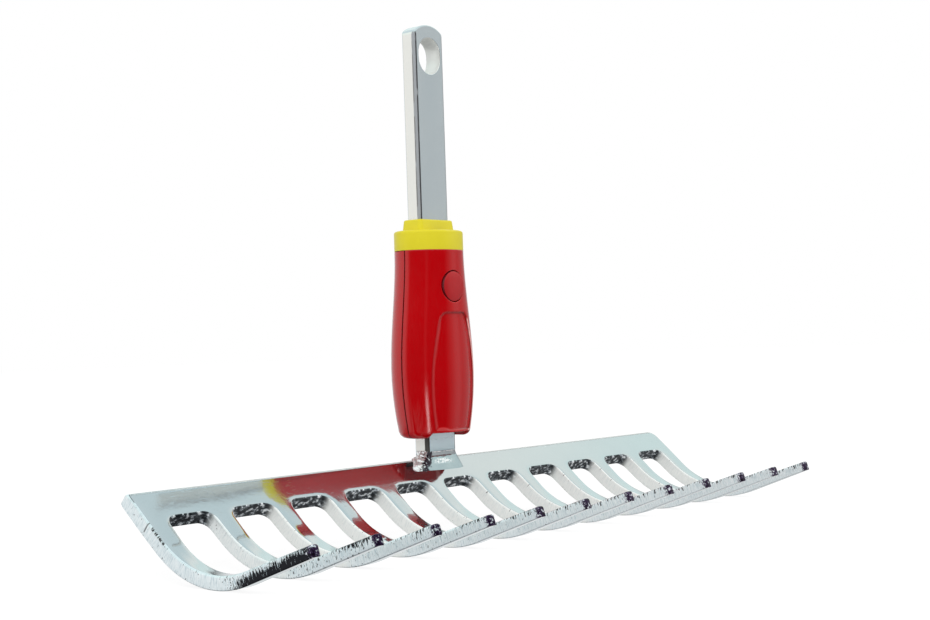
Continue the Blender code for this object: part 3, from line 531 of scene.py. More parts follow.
def inner_side(edge):
    """A tine's side next to a slot, from the slot's root to the flat of the tip, inset by edge.
    x counts from the tine's centre. The root corner is a quarter circle about a centre in the
    slot, so the inset makes it larger."""
    sin, cos = np.sin(quarter(ARC_ROWS)), np.cos(quarter(ARC_ROWS))
    corner, radius = SLOT_START + SLOT_CORNER, SLOT_CORNER + edge
    middle = tine_half(corner) + SLOT_CORNER
    root = together(middle - radius * sin, corner - radius * cos, sin, cos)
    flat = together(tine_half(side_rows[1:]) - edge, side_rows[1:], 1, 0)
    sin, cos = np.sin(quarter(TIP_ROWS)[1:]), np.cos(quarter(TIP_ROWS)[1:])
    tip = together(tine_half(TIP_END) - TIP_CORNER + (TIP_CORNER - edge) * cos,
                   TIP_END - TIP_CORNER + (TIP_CORNER - edge) * sin, cos, sin)
    return np.concatenate([root, flat, tip])


def outer_side(edge):
    """The comb's end, on the same rows as inner_side: straight from the plate to the bend."""
    side = inner_side(edge)
    straight = side[:, 1] < TIP_END - TIP_CORNER + MERGE
    side[straight, 0] = tine_half(side[straight, 1]) - edge
    side[straight, 2:] = 1, 0
    return side


def side_of(index, right, edge):
    """The right or left side of a tine, which for the first and last is a comb's end."""
    outside = (index == TINE_COUNT - 1) if right else (index == 0)
    return (outer_side if outside else inner_side)(edge)


def plate_corner(edge, back_edge, right=True):
    """The plate's back corner, from the back edge to the comb's end: a quarter circle at the right,
    and at the left, on the same rows, a square corner whose point is only just off."""
    angle = quarter(CORNER_ROWS)
    share = angle / (math.pi / 2)
    radius = PLATE_CORNER - (back_edge + (edge - back_edge) * share)
    x = ROOT_HALF - PLATE_CORNER + radius * np.sin(angle)
    if not right:
        x = ROOT_HALF - edge - LEFT_CORNER * (1 - share) ** 4
    return together(x, PLATE_CORNER - radius * np.cos(angle), np.sin(angle), -np.cos(angle))


def web_rows(edge, back_edge):
    """s of the rows between the back edge and the slots' roots, closer together at both."""
    corner = plate_corner(edge, back_edge)[:, 1]
    share = np.linspace(0, 1, WEB_ROWS)[1:]
    rest = corner[-1] + (SLOT_START - edge - corner[-1]) * (1 - (1 - share) ** WEB_CROWDING)
    return np.concatenate([corner, rest])


print("rows down one tine:", len(inner_side(0.0)))

# %% [markdown]
# The top and the bottom face are the same net of points at two depths: a web across the whole
# plate, and a strip down each tine whose columns crowd towards its sides.

# %% Comb faces
crowded = 0.5 - 0.5 * np.cos(np.pi * np.arange(FACE_COLUMNS + 1) / FACE_COLUMNS)


def tine_strip(index, edge):
    """x and s of the face of one tine, rows by columns: from its left side to its right one."""
    right, left = (side_of(index, side, edge)[:, :2, None] for side in (True, False))
    x = TINE_CENTRES[index] - left[:, 0] + (left + right)[:, 0] * crowded
    return x, np.broadcast_to(right[:, 1], x.shape)


def web_net(edge, back_edge):
    """x and s of the face between the back edge and the slots' roots."""
    root, end = inner_side(edge)[0, 0], ROOT_HALF - edge
    pieces = []
    for index, centre in enumerate(TINE_CENTRES):
        left = end if index == 0 else root
        right = end if index == TINE_COUNT - 1 else root
        pieces.append(centre - left + (left + right) * crowded)
        if index < TINE_COUNT - 1:
            flat = np.linspace(centre + right, TINE_CENTRES[index + 1] - root, ROOT_COLUMNS + 1)
            pieces.append(flat[1:-1])
    columns = np.concatenate(pieces)
    s = web_rows(edge, back_edge)
    x = np.broadcast_to(columns, (len(s), len(columns))).copy()
    # The rows beside a back corner end on the corner's own line.
    for side, span in ((-1, slice(0, FACE_COLUMNS + 1)), (1, slice(-FACE_COLUMNS - 1, None))):
        centre = TINE_CENTRES[0 if side < 0 else -1]
        for row, reach in enumerate(plate_corner(edge, back_edge, side > 0)[:, 0]):
            away = (x[row, span] - centre) * side
            low, high = away.min(), away.max()
            x[row, span] = centre + side * (low + (away - low) * (reach - low) / (high - low))
    return x, np.broadcast_to(s[:, None], x.shape)


print("web net:", web_net(0.0, 0.0)[0].shape, "tine strip:", tine_strip(0, 0.0)[0].shape)

# %% [markdown]
# The rim follows the whole outline once: along the back edge, round a corner, and then down one
# side of each tine and up the other, from the right tine to the left one.

# %% Comb chain


def outline_chain(which):
    """x, s and normal round the blank, from the back edge's left end clockwise and back to it."""
    edge, back = SIDE_EDGE[which], BACK_EDGE[which]
    mirror = [-1, 1, -1, 1]
    end = together(ROOT_HALF - edge, web_rows(edge, back)[CORNER_ROWS:-1], 1, 0)
    right_end, left_end = (np.concatenate([plate_corner(edge, back, side), end])
                           for side in (True, False))
    chain = [together(web_net(edge, back)[0][0], web_rows(edge, back)[0], 0, -1)[:-1]]
    for index in reversed(range(TINE_COUNT)):
        centre = TINE_CENTRES[index]
        shift = [centre, 0, 0, 0]
        right, left = side_of(index, True, edge), side_of(index, False, edge)
        if index == TINE_COUNT - 1:
            chain.append(right_end + shift)
        tip_x = centre - left[-1, 0] + (left[-1, 0] + right[-1, 0]) * crowded
        chain += [(right + shift)[:-1], together(tip_x, right[-1, 1], 0, 1)[:0:-1]]
        up = (left * mirror + shift)[::-1]
        if index > 0:
            root, s = left[0, :2]
            slot = np.linspace(centre - root, TINE_CENTRES[index - 1] + root, ROOT_COLUMNS + 1)
            chain += [up[:-1], together(slot, s, 0, 1)[:-1]]
        else:
            chain += [up, (left_end * mirror + shift)[:0:-1]]
    return np.concatenate(chain + [chain[0][:1]])


chain_top, chain_bottom, chain_side = (outline_chain(which) for which in SIDE_EDGE)
print("points round the outline:", len(chain_side) - 1)

# %% [markdown]
# The rim's cross-section is a quarter round at the top, the straight cut side, and a smaller
# quarter round at the bottom. The punch also drags the top face down a little where it enters,
# which the maker calls the roll: the face sinks within about two millimetres of every cut. A
# second pair of numbers tells the finish where the slots' roots, the back edge and the tips are.

# %% Comb mesh
ROLL_REACH = 2.4 * MM
ROLL_DEPTH = 0.22 * MM
ROUND_ROWS = 6
BURN_START = BEND_END - 14 * MM
BURN_FADE = 2.5 * MM


def roll(distance):
    """How far the top face has sunk at a distance from a cut: a parabola that ends flat."""
    return ROLL_DEPTH * np.clip(1 - distance / ROLL_REACH, 0, 1) ** 2


def distance_to_outline(x, s):
    """Distance of each point of the blank to the nearest stretch of the outline."""
    points = np.stack([x.ravel(), s.ravel()], axis=1)
    outline = chain_side[:-1, :2]
    nearest = np.concatenate([
        ((block[:, None] - outline[None]) ** 2).sum(-1).argmin(1)
        for block in np.array_split(points, 1 + len(points) // 1500)])
    found = np.full(len(points), np.inf)
    for step in (-1, 1):
        start = outline[nearest]
        span = outline[(nearest + step) % len(outline)] - start
        share = ((points - start) * span).sum(1) / np.maximum((span ** 2).sum(1), 1e-18)
        foot = start + span * np.clip(share, 0, 1)[:, None]
        found = np.minimum(found, np.linalg.norm(points - foot, axis=1))
    return found.reshape(x.shape)


def face_grids():
    """The nets of both faces: the top one sinks by the roll, the bottom one by the thickness."""
    grids = []
    for which in ("top", "bottom"):
        edge, back = SIDE_EDGE[which], BACK_EDGE[which]
        for x, s in [web_net(edge, back)] + [tine_strip(k, edge) for k in range(TINE_COUNT)]:
            away = distance_to_outline(x, s)
            depth = roll(away) if which == "top" else sheet_thickness(s)
            grids.append({"points": bend(x, s, depth), "surface": together(x, s),
                          "zone": together(away, s)})
    return grids


def rim_grid():
    """The rim's grid: one row per step of the profile, one column per point of the outline."""
    side, s, normal_s = chain_side[:, :2], chain_side[:, 1], chain_side[:, 3]
    top, bottom = chain_top[:, :2] - side, chain_bottom[:, :2] - side
    top_edge, bottom_edge = np.linalg.norm(top, axis=1), np.linalg.norm(bottom, axis=1)
    # The faces start at the chains, so the rim has their roll and their thickness there.
    away = distance_to_outline(*chain_top[:, :2].T)
    rows = []
    for angle in quarter(ROUND_ROWS):
        flat = 1 - math.sin(angle)
        depth = top_edge * (1 - math.cos(angle)) + roll(away * flat)
        rows.append([*(side + top * flat).T, depth])
    for share in (0.25, 0.5, 0.75):
        rows.append([*side.T, depth + (sheet_thickness(s) - bottom_edge - depth) * share])
    for angle in quarter(ROUND_ROWS)[::-1]:
        x, down = (side + bottom * (1 - math.sin(angle))).T
        rows.append([x, down, sheet_thickness(down) - bottom_edge * (1 - math.cos(angle))])
    net = np.array(rows).swapaxes(0, 1)
    along = np.append(0, np.cumsum(np.linalg.norm(np.diff(side, axis=0), axis=1)))
    # root is the part of the normal that faces down a slot, and -1 on the back edge.
    below = np.clip(s - SLOT_START - SLOT_CORNER, 0, None)
    root = np.where((normal_s > 0) & (below < MERGE), normal_s, 0)
    inner = (np.abs(side[:, 0]) < COMB_LENGTH / 2 - 0.2 * MM) & (below > 0)
    root = np.maximum(root, np.where(inner, 0.3 * np.exp(-below / BURN_FADE), 0))
    root = np.where(normal_s < 0, -1.0, root)
    # tip runs from 0 to 1 where a tine is burnt, and is 1.5 on its end.
    tip = np.clip((s - BURN_START) / (TIP_END - BURN_START), 0, 1)
    tip = np.where((normal_s > 0.3) & (s > TIP_END - TIP_CORNER), 1.5, tip)
    return {"points": bend(*net), "material": 1, "surface": together(along, net[2]),
            "zone": np.broadcast_to(together(root, tip), (*net.shape[1:], 2))}


print("the roll sinks a cut by", round(float(roll(0.0)) / MM, 2), "mm")

# %% [markdown]
# Two finishes go on the comb. The faces are bright zinc: a mirror with the faint waviness of
# rolled sheet, a little haze, and hairline scratches, and the faces that look up get painted shade.
# The cut sides are frosted, with fine lines through the thickness where the punch dragged, pits
# towards the tips, burnt tips with painted highlights, and dark torn metal at the slots' roots. A
# painted picture could hold these marks, but sums of noise and of the rim's own numbers stay sharp
# at any size.

# %% Zinc finishes


def bright_zinc():
    """The rolled faces."""
    f = Finish("bright_zinc", (0.74, 0.78, 0.80), 1.0, 0.1)
    place = f.place()
    cloud = f.noise(place, 45, 4)
    # The faces that look up get a darker copy of the zinc colour than the undersides: painted shade,
    # which darkens what they mirror.
    top = f.facing()[2].span(0.1, 0.4)
    shiny = f.mix(cloud, (0.72, 0.765, 0.785), (0.79, 0.825, 0.835))
    shaded_top_zinc = f.mix(cloud, (0.52, 0.555, 0.57), (0.58, 0.61, 0.62))
    scratches = f.ramp(f.noise(f.place((1, 14, 14)), 210, 2), (0.66, 0.0), (0.72, 1.0))
    f.set(Base_Color=f.mix(top, shiny, shaded_top_zinc), Metallic=1.0 - top * 0.015,
          Roughness=f.ramp(f.noise(place, 160, 4), (0.3, 0.05), (0.75, 0.09)),
          Normal=f.bump((f.noise(f.place((0.5, 1, 1)), 30, 1), 0.16, 0.0012),
                        (f.noise(place, 420, 2), 0.06, 0.00015), (scratches, 0.05, 0.0001)))
    return f.material


def cut_zinc():
    """The cut sides, which read root and tip from the rim's zone, and depth from its surface."""
    f = Finish("cut_zinc", (0.83, 0.86, 0.87), 1.0, 0.4)
    surface, _, deep = f.uv("surface")
    _, root, tip = f.uv("zone")
    x, y, _ = f.place().parts()
    first, second = x.fall(-0.172, -0.166), x.fall(-0.141, -0.135)

    def grain(along, through, detail, roughness, shift=(0, 0, 0)):
        """Noise with so many grains in a metre along the rim and through the sheet."""
        return f.noise(f.stretch(surface, (along, through, 1), shift), 1.0, detail, roughness)

    lines = grain(2600, 240, 3, 0.6)
    ticks = grain(1500, 300, 2, 0.6, (3, 9, 0))
    blotches = grain(900, 700, 4, 0.65)
    pits = grain(1200, 520, 4, 0.65, (7, 3, 0))
    tears = grain(420, 520, 5, 0.6, (1, 5, 0))
    # Dark ticks hang from the top edge, and they grow longer towards the tip.
    hang = tip.span(0.15, 0.9) * (second * 0.35 + 0.7)
    ticked = (hang - deep * 420.0) * 0.22 + ticks - 0.60 - first
    # The first tine is burnt black to its foot. Bare streaks run down from its top edge.
    bare = deep.span(0.4 * MM, 3.4 * MM, 0.80, 0.0) * tip.span(0.35, 0.95, 1.0, 0.45)
    burn = tip.span(0.02, 0.34, -0.50, 0.50) - bare + (lines - 0.5) * 2.8 + (pits - 0.5) * 1.5
    burn = burn - first.span(0.0, 1.0, 3.0, 0.0)
    # Flecks thin out from the left tines to the right ones, and from the tips to the plate.
    fleck = x.span(-0.15, 0.15, 0.115, 0.04) * tip.span(-0.05, 0.12, 0.3, 1.0)
    holes = fleck + second * 0.03 + 0.275 - pits
    black = (ticked | holes).span(0.0, 0.035) | burn.span(0.0, 0.12)
    # The plate's back edge is clean, but for a fine dark line where it starts to round.
    back = root.fall(-0.9, -0.2)
    line = deep.between(0.10 * MM, 0.14 * MM, 0.24 * MM, 0.32 * MM)
    black = black * (1.0 - back) | line * back * 0.72
    # Inside the slots the punch left the sides smooth, whiter and less like a mirror.
    smooth = tip.fall(0.0, 0.15) * x.span(-0.165, -0.13)
    torn = f.ramp(tears, (0.42, (0.012, 0.014, 0.018)), (0.52, (0.07, 0.08, 0.09)),
                  (0.57, (0.42, 0.46, 0.50)), (0.62, (0.95, 0.97, 0.98)))
    # The tips are burnt purple-black, and pale where the blotches are high: that pale is a painted
    # highlight.
    burnt_and_highlight = f.ramp(blotches, (0.40, (0.012, 0.006, 0.014)), (0.56, (0.06, 0.03, 0.09)),
                   (0.61, (0.85, 0.88, 0.92)))
    ragged = tip + (blotches - 0.5) * 0.26
    # A crack crosses the left end's cut side, and a torn line follows its upper edge from there.
    wander = deep * 0.66 + lines * 0.0006 - 0.0142
    crack = abs(y - wander).fall(0.10 * MM, 0.35 * MM) * deep.span(4.0 * MM, 4.8 * MM, 0.75, 0.0)
    torn_edge = y.between(-0.0226, -0.0216, -0.0156, -0.0150) * deep.fall(0.6 * MM, 1.2 * MM)
    crack = (crack | torn_edge * ticks.span(0.44, 0.50)) * x.fall(-0.1745, -0.1735)
    f.set(Base_Color=f.ramp(lines, (0.30, (0.50, 0.60, 0.65)), (0.45, (0.76, 0.83, 0.85)),
                            (0.65, (0.90, 0.94, 0.95))))
    f.mark((smooth * 0.6, (0.93, 0.92, 0.87)), (black, (0.018, 0.018, 0.022)),
           (root.span(0.25, 0.85), torn), (ragged.span(0.95, 0.965), burnt_and_highlight),
           (crack, (0.03, 0.02, 0.02)))
    f.set(Metallic=1.0 - (x.span(-0.13, 0.05, 0.0, 0.62) | smooth * 0.75),
          Roughness=f.ramp(blotches, (0.3, 0.30), (0.7, 0.45)),
          Normal=f.bump((lines, 0.4, 0.0001), (blotches, 0.3, 0.0004)))
    return f.material


comb = build_piece("stamped_comb", face_grids() + [rim_grid()], [bright_zinc(), cut_zinc()])
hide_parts("rake_comb")
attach(comb, "head")

# %% [markdown]
# ## The tang
#
# The tang is a length of flat bar with an arched end and an obround hole to hang it up by. Rolled
# bar has round edges with a low step beside the flat face, and in the photograph they make the two
# dark lines at its front left corner. The piece is a net of rays from the hole's centre: each ray
# runs from the hole's rim out to the bar's outline, over the rounded edge, and back underneath.

# %% Tang outline
TANG_HALF = 10.0 * MM
TANG_THICK = 8.4 * MM
TANG_TOP = 94.3 * MM
TANG_FOOT = RIDGE_Z + 0.3 * MM
END_RADIUS = 15.0 * MM
END_CORNER = 3.0 * MM
HOLE_CENTRE = 80.15 * MM
HOLE_RADIUS = 7.15 * MM
HOLE_STRAIGHT = 1.1 * MM
SIDE_POINTS, CORNER_POINTS, ARCH_POINTS = 60, 12, 40


def arc(centre, radius, start, end, steps):
    """Points and outward normals on a circle between two angles."""
    angle = np.linspace(start, end, steps)
    normal = together(np.cos(angle), np.sin(angle))
    return np.array(centre) + radius * normal, normal


def tang_outline():
    """x, z and normal round the bar: up the right side, over the arch, down the left side and
    along the foot. The arch is a large circle that meets the sides in two small ones."""
    crown = TANG_TOP - END_RADIUS
    middle = TANG_HALF - END_CORNER
    rise = math.sqrt((END_RADIUS - END_CORNER) ** 2 - middle ** 2)
    lean = math.atan2(rise, middle)
    up = np.linspace(TANG_FOOT, crown + rise, SIDE_POINTS)
    right = together(TANG_HALF, up), together(1.0, 0.0 * up)
    corner = arc((middle, crown + rise), END_CORNER, 0, lean, CORNER_POINTS)
    top = arc((0, crown), END_RADIUS, lean, math.pi - lean, ARCH_POINTS)
    parts = [right, [a[1:] for a in corner], [a[1:-1] for a in top]]
    parts += [[a[::-1] * [-1, 1] for a in part] for part in (corner, right)]
    parts.append([a[:1] for a in right])
    return [np.concatenate(arrays) for arrays in zip(*parts)]


def hole_rim(directions):
    """The obround's rim in the given directions: two half circles about centres that lie a little
    above and below the hole's middle, capped by the straight sides."""
    x, z = directions.T
    lift = np.sign(z) * HOLE_STRAIGHT
    along = z * lift + np.sqrt(np.maximum((z * lift) ** 2 + HOLE_RADIUS ** 2 - lift ** 2, 0))
    side = HOLE_RADIUS / np.maximum(np.abs(x), 1e-9)
    distance = np.where(np.abs(side * z) < HOLE_STRAIGHT, side, along)
    return directions * distance[:, None] + [0, HOLE_CENTRE]


print("points round the bar:", len(tang_outline()[0]))

# %% [markdown]
# The rolls left a low step where the flat face begins. So the profile of the long edges runs a
# quarter round, then a narrow flat, then the step. Both fade out on the arched end, whose edge is
# only broken.

# %% Tang net
EDGE_OUT = 1.5 * MM
EDGE_DEEP = 1.8 * MM
EDGE_ROWS = 15
STEP_DEPTH = 0.22 * MM
ARCH_EDGE = 0.6 * MM
HOLE_EDGE = 0.35 * MM
HOLE_BREAK = 0.1 * MM
CLOSE = 0.15 * MM


def tang_grid():
    """Rows from the hole's rim out to the bar's side, mirrored at its middle plane and closed."""
    outline, normal = tang_outline()
    straight = np.abs(normal[:, :1]) ** 4
    edge_out = ARCH_EDGE + (EDGE_OUT - ARCH_EDGE) * straight
    edge_deep = ARCH_EDGE + (EDGE_DEEP - ARCH_EDGE) * straight
    inner = outline - normal * edge_out
    rays = inner - [0, HOLE_CENTRE]
    rays /= np.linalg.norm(rays, axis=1)[:, None]
    rim = hole_rim(rays)
    start = rim + rays * HOLE_EDGE
    half = TANG_THICK / 2
    flat = np.full(len(rim), half)
    rows = [(rim, flat - HOLE_EDGE), (rim + rays * HOLE_BREAK, flat - HOLE_BREAK), (start, flat)]
    # The first row lies close to the hole's edge, so that the edge's shading stays there.
    close = np.minimum(CLOSE / np.linalg.norm(inner - start, axis=1), 0.04)[:, None]
    shares = (close, 2.5 * close, 0.2, 0.45, 0.7, 0.88, 0.96, 1.0)
    rows += [(start + (inner - start) * share, flat) for share in shares]
    for a in quarter(EDGE_ROWS)[1:]:
        step = STEP_DEPTH * straight * np.clip((a - 0.16) / 0.12, 0, 1) * np.clip(1.3 - a, 0, 1)
        deep = edge_deep * (1 - math.cos(a)) + step
        rows.append((inner + normal * edge_out * math.sin(a), half - deep[:, 0]))
    front = np.array([together(place[:, 0], -y, place[:, 1]) for place, y in rows])
    loop = np.concatenate([front, front[::-1] * [1, -1, 1], front[:1]])
    # The zone's U counts -1 on the hole's wall, 0 on the front, up to 1 round the front's long
    # edge, and 2 on the back. V tells the straight sides from the arch.
    across = np.concatenate([[-1, -1, 0], np.zeros(len(shares)), np.linspace(0, 1, EDGE_ROWS)[1:]])
    across = np.concatenate([across, np.full(len(across) - 1, 2), [-1, -1]])[:, None]
    return {"points": loop, "surface": loop[..., ::2],
            "zone": together(across, straight.T)}


print("tang net:", tang_grid()["points"].shape)

# %% [markdown]
# The tang's zinc is duller than the comb's: satin from the rolled bar, with a slow cloudiness
# from grey-blue to pale grey and fine lines along the bar. Its sides are painted paler as lit, and
# dark reflections are painted along its long edges.

# %% Satin zinc


def satin_zinc():
    """The rolled bar, which reads its edges and the hole's wall from the zone."""
    f = Finish("satin_zinc", (0.70, 0.75, 0.78), 1.0, 0.2)
    place = f.place()
    z = place.parts()[2]
    _, zone, straight = f.uv("zone")
    edge = zone.between(0.0, 0.04, 0.94, 0.99) * straight.span(0.5, 0.8)
    wall = zone.fall(-0.6, -0.3)
    # Two dark lines bound the long edge, broken by noise: painted dark reflections, a black one in
    # front and a browner one at the side.
    line_breaks = f.noise(f.place((1, 1, 0.12)), 900, 3)
    dark_reflection_front = zone.fall(0.20, 0.30) * line_breaks.span(0.28, 0.42)
    dark_reflection_side = zone.span(0.74, 0.84) * line_breaks.span(0.40, 0.50) * z.span(-0.02, 0.055, 1.0, 0.7)
    # The sides get a whiter, duller copy of the zinc than the flat faces: painted light, as on a lit
    # side.
    sides_painted_lit = abs(f.facing()[0]).span(0.90, 0.97)
    # On the stem below the grip the flat faces are painted pale blue and duller, as painted light
    # against the shade under the grip, and the edges nearly black, as a painted dark reflection.
    stem = z.fall(-0.094, -0.088)
    foot = stem * sides_painted_lit.fall(0.0, 1.0)
    cloud = f.noise(f.place((1, 1, 0.35)), 60, 3)
    f.set(Base_Color=f.mix(cloud, (0.53, 0.60, 0.63), (0.65, 0.70, 0.71)))
    f.mark((sides_painted_lit, (0.83, 0.82, 0.775)), (foot, (0.78, 0.93, 0.99)), (edge, (0.40, 0.42, 0.44)),
           (edge * dark_reflection_side, (0.13, 0.12, 0.11)), (edge * dark_reflection_front, (0.05, 0.05, 0.055)),
           (edge * stem * 0.9, (0.06, 0.05, 0.04)), (wall, (0.80, 0.81, 0.78)))
    # Satin plate scatters part of its light, and the sides, painted as lit, more than the flat
    # faces.
    dull = edge * 0.85 | wall * 0.6 | foot * 0.65 | sides_painted_lit.span(0.0, 1.0, 0.25, 0.40)
    rough = f.ramp(f.noise(place, 120, 3), (0.3, 0.10), (0.75, 0.17)) + (edge | wall) * 0.25
    lines = f.noise(f.place((30, 30, 1)), 130, 3)
    f.set(Metallic=1.0 - dull, Roughness=rough + z.span(-0.097, -0.090, 0.2, 0.0),
          Normal=f.bump((f.noise(place, 45, 2), 0.12, 0.0008), (lines, 0.06, 0.0001)))
    return f.material


tang = build_piece("flat_tang", [tang_grid()], [satin_zinc()])
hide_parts("tang")
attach(tang, "head")

# %% [markdown]
# ## The weld
#
# A weld is a row of frozen puddles. This one joins the tang's foot to the comb in one hollow
# fillet that runs out to the left. Its surface is a blend between a ring round the tang and a
# ring on the plate, and each puddle adds a ripple: a sharp valley and a round crest along the
# bead. The zinc went on afterwards, so that the ripples sparkle.

# %% Weld rings
# The two rings as stations: a place round the bead, 0 to 1 from the right side over the front, and
# x and y there in millimetres. The neck hugs the bar, and the toe lies on the plate.
NECK = np.array([(0.00, 10.1, 0.0), (0.10, 10.1, -2.6), (0.125, 9.5, -3.7), (0.15, 8.3, -4.3),
                 (0.36, -8.3, -4.3), (0.385, -9.5, -3.7), (0.41, -10.1, -2.6), (0.50, -10.1, 0.0),
                 (0.59, -10.1, 2.6), (0.615, -9.5, 3.7), (0.64, -8.3, 4.3), (0.86, 8.3, 4.3),
                 (0.885, 9.5, 3.7), (0.91, 10.1, 2.6), (1.00, 10.1, 0.0)])
TOE = np.array([(0.00, 12.2, -0.7), (0.05, 9.8, -3.8), (0.09, 9.5, -6.2), (0.13, 10.4, -8.0),
                (0.18, 6.5, -8.4), (0.26, -4.0, -8.3), (0.345, -14.0, -7.9), (0.385, -19.0, -7.9),
                (0.415, -23.2, -7.6), (0.435, -23.4, -6.4), (0.46, -20.5, -4.6),
                (0.50, -18.4, -1.8), (0.54, -16.0, 0.6), (0.61, -10.6, 1.5), (0.70, -5.0, 1.9),
                (0.86, 7.5, 1.7), (0.93, 10.6, 0.9), (1.00, 12.2, -0.7)])
RING_BLUR = 5


def plate_height(y):
    """Height of the comb under a point: the plate slopes to the front, its cut edge to the back."""
    behind = y - RIDGE_Y
    slope = math.tan(PLATE_SLOPE)
    return RIDGE_Z + np.where(behind < 0, behind * slope, -behind / slope)


def ring(stations, turn):
    """x and y round a ring: straight between its stations, with its corners averaged round."""
    place, x, y = stations.T
    places = together(np.interp(turn, place, x), np.interp(turn, place, y)) * MM
    steps = range(-RING_BLUR, RING_BLUR + 1)
    return sum(np.roll(places, step, axis=0) for step in steps) / len(steps)


print("stations:", len(NECK), "round the neck,", len(TOE), "round the toe")

# %% [markdown]
# |sin| has the sharp valleys and round crests of frozen puddles. At the left end they are stacked
# one above the other and stand out far. On the front there is one shallow valley where two passes
# meet, and otherwise the bead ran smooth.

# %% Weld net
WELD_COLUMNS = 320
WELD_ROWS = 44
WELD_TOP = -100.1 * MM
PLATE_BITE = 0.12 * MM
SUNK = 0.5 * MM
LEAN_UP = 0.6
LEFT_END = 0.455


def bell(value, middle, width):
    """A bell curve: one at its middle, and almost nothing two widths away."""
    return np.exp(-((value - middle) / width) ** 2)


def weld_ripple(share, turn):
    """How far the puddles stand out: stacked puddles and lumps under a bell at the left, a valley
    on the front, and a bead along the neck, faded out at the toe and at the neck."""
    left = bell(turn, LEFT_END, 0.06)
    wander = 0.16 * np.sin(23 * turn) + 0.10 * np.sin(61 * turn + 2 * share)
    stacked = (np.abs(np.sin(math.pi * (4.2 * share + wander + 2.2 * turn))) - 0.45) * 0.75 * left
    stacked = stacked * (0.5 + 0.5 * np.clip(share / 0.4, 0, 1))
    lumps = 0.16 * np.sin(95 * turn + 4 * share) * np.sin(26 * share + 20 * turn) * left
    front = np.clip((turn - 0.12) / 0.03, 0, 1) * np.clip((0.36 - turn) / 0.03, 0, 1)
    place = 0.36 + 0.02 * np.sin(130 * turn) + 0.015 * np.sin(57 * turn)
    valley = -0.30 * bell(share, place, 0.045) * front
    rim = 0.10 * bell(share, 0.03, 0.05) * (1 + 0.5 * np.sin(170 * turn))
    fade = np.clip((1 - share) / 0.12, 0, 1) ** 0.7 * np.clip(share / 0.02, 0, 1)
    return (stacked + lumps + valley + rim) * fade * MM


def weld_grid():
    """The bead's skin. share runs from the neck, 0, to the toe, 1.

    The way out to the toe grows with about the square of the share, which makes the fillet hollow,
    while the height falls evenly. The ripples push the skin outwards."""
    turn = np.linspace(0, 1, WELD_COLUMNS, endpoint=False)
    neck, toe = ring(NECK, turn), ring(TOE, turn)
    share = np.linspace(0, 1, WELD_ROWS)[:, None]
    spread = share ** (2.1 - 0.30 * bell(turn, 0.45, 0.07))
    flat = neck + (toe - neck) * spread[..., None]
    top = WELD_TOP + 0.5 * MM * bell(turn, 0.45, 0.08)
    height = top + (plate_height(flat[..., 1]) - PLATE_BITE - top) * share
    outward = toe - neck
    outward /= np.linalg.norm(outward, axis=-1)[:, None]
    lean = together(*outward.T, LEAN_UP)
    lean /= np.linalg.norm(lean, axis=-1)[:, None]
    skin = together(flat[..., 0], flat[..., 1], height)
    skin = skin + lean * weld_ripple(share, turn)[..., None]
    # Under the skin the solid closes through the plate and up along the bar.
    sunk = skin[-1] - [0, 0, SUNK]
    foot = together(*skin[0, :, :2].T, sunk[:, 2])
    loop = np.concatenate([skin, sunk[None], foot[None], skin[:1]])
    loop = np.concatenate([loop, loop[:, :1]], axis=1)
    down = np.append(share, [1, 1, 0])[:, None]
    return {"points": loop, "surface": together(np.append(turn, 1.0), down)}


print("weld net:", weld_grid()["points"].shape)

# %% [markdown]
# Plated weld metal is a mirror. Where the puddles froze roughly, at the left, it is dented and
# burnt: a purple-black band runs down the corner, and dull red lies between the puddles.

# %% Weld finish


def plated_weld():
    """The bead, by the turn round it and the way down from the neck to the toe."""
    f = Finish("plated_weld", (0.78, 0.82, 0.84), 1.0, 0.12)
    place = f.place()
    _, turn, down = f.uv("surface")
    fleck = f.noise(place, 900, 3, 0.6)
    turn = turn + (f.noise(place, 380, 2) - 0.5) * 0.05
    rough = turn.between(0.345, 0.375, 0.56, 0.62)
    soot = fleck.fall(0.42, 0.50) * down.span(0.45, 0.75, 1.0, 0.35) * rough
    # White, non-metal spots near the neck are painted glints.
    painted_sparkle = down.between(0.01, 0.03, 0.06, 0.10) * fleck.span(0.42, 0.50)
    patch = down.between(0.50, 0.58, 0.72, 0.80) * turn.between(0.19, 0.22, 0.29, 0.32)
    patch = patch * fleck.span(0.46, 0.52)
    band = turn.between(0.335, 0.347, 0.384, 0.400) * fleck.fall(0.56, 0.68)
    pass_line = abs(down - 0.36).fall(0.02, 0.045) * turn.between(0.16, 0.2, 0.33, 0.35)
    f.set(Base_Color=f.mix(f.noise(place, 240, 3), (0.36, 0.40, 0.43), (0.48, 0.51, 0.52)))
    f.mark((rough, (0.93, 0.94, 0.94)), (painted_sparkle, WHITE), (patch, (0.95, 0.97, 0.97)),
           (soot, (0.15, 0.03, 0.03)), (band, (0.03, 0.02, 0.03)),
           (pass_line * fleck.fall(0.46, 0.66), (0.14, 0.03, 0.03)))
    dull = down.span(0.32, 0.42, 0.6, 0.0) * rough.fall(0.0, 1.0) | rough * 0.35
    f.set(Metallic=1.0 - (dull | painted_sparkle | patch * 0.7), Roughness=rough.span(0.0, 1.0, 0.13, 0.08),
          Normal=f.bump((f.noise(place, 160, 2), 0.20, 0.0006),
                        (f.noise(place, 620, 3) * rough, 0.5, 0.0007)))
    return f.material


weld = build_piece("weld_fillet", [weld_grid()], [plated_weld()])
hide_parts("weld_bead")
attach(weld, "head")

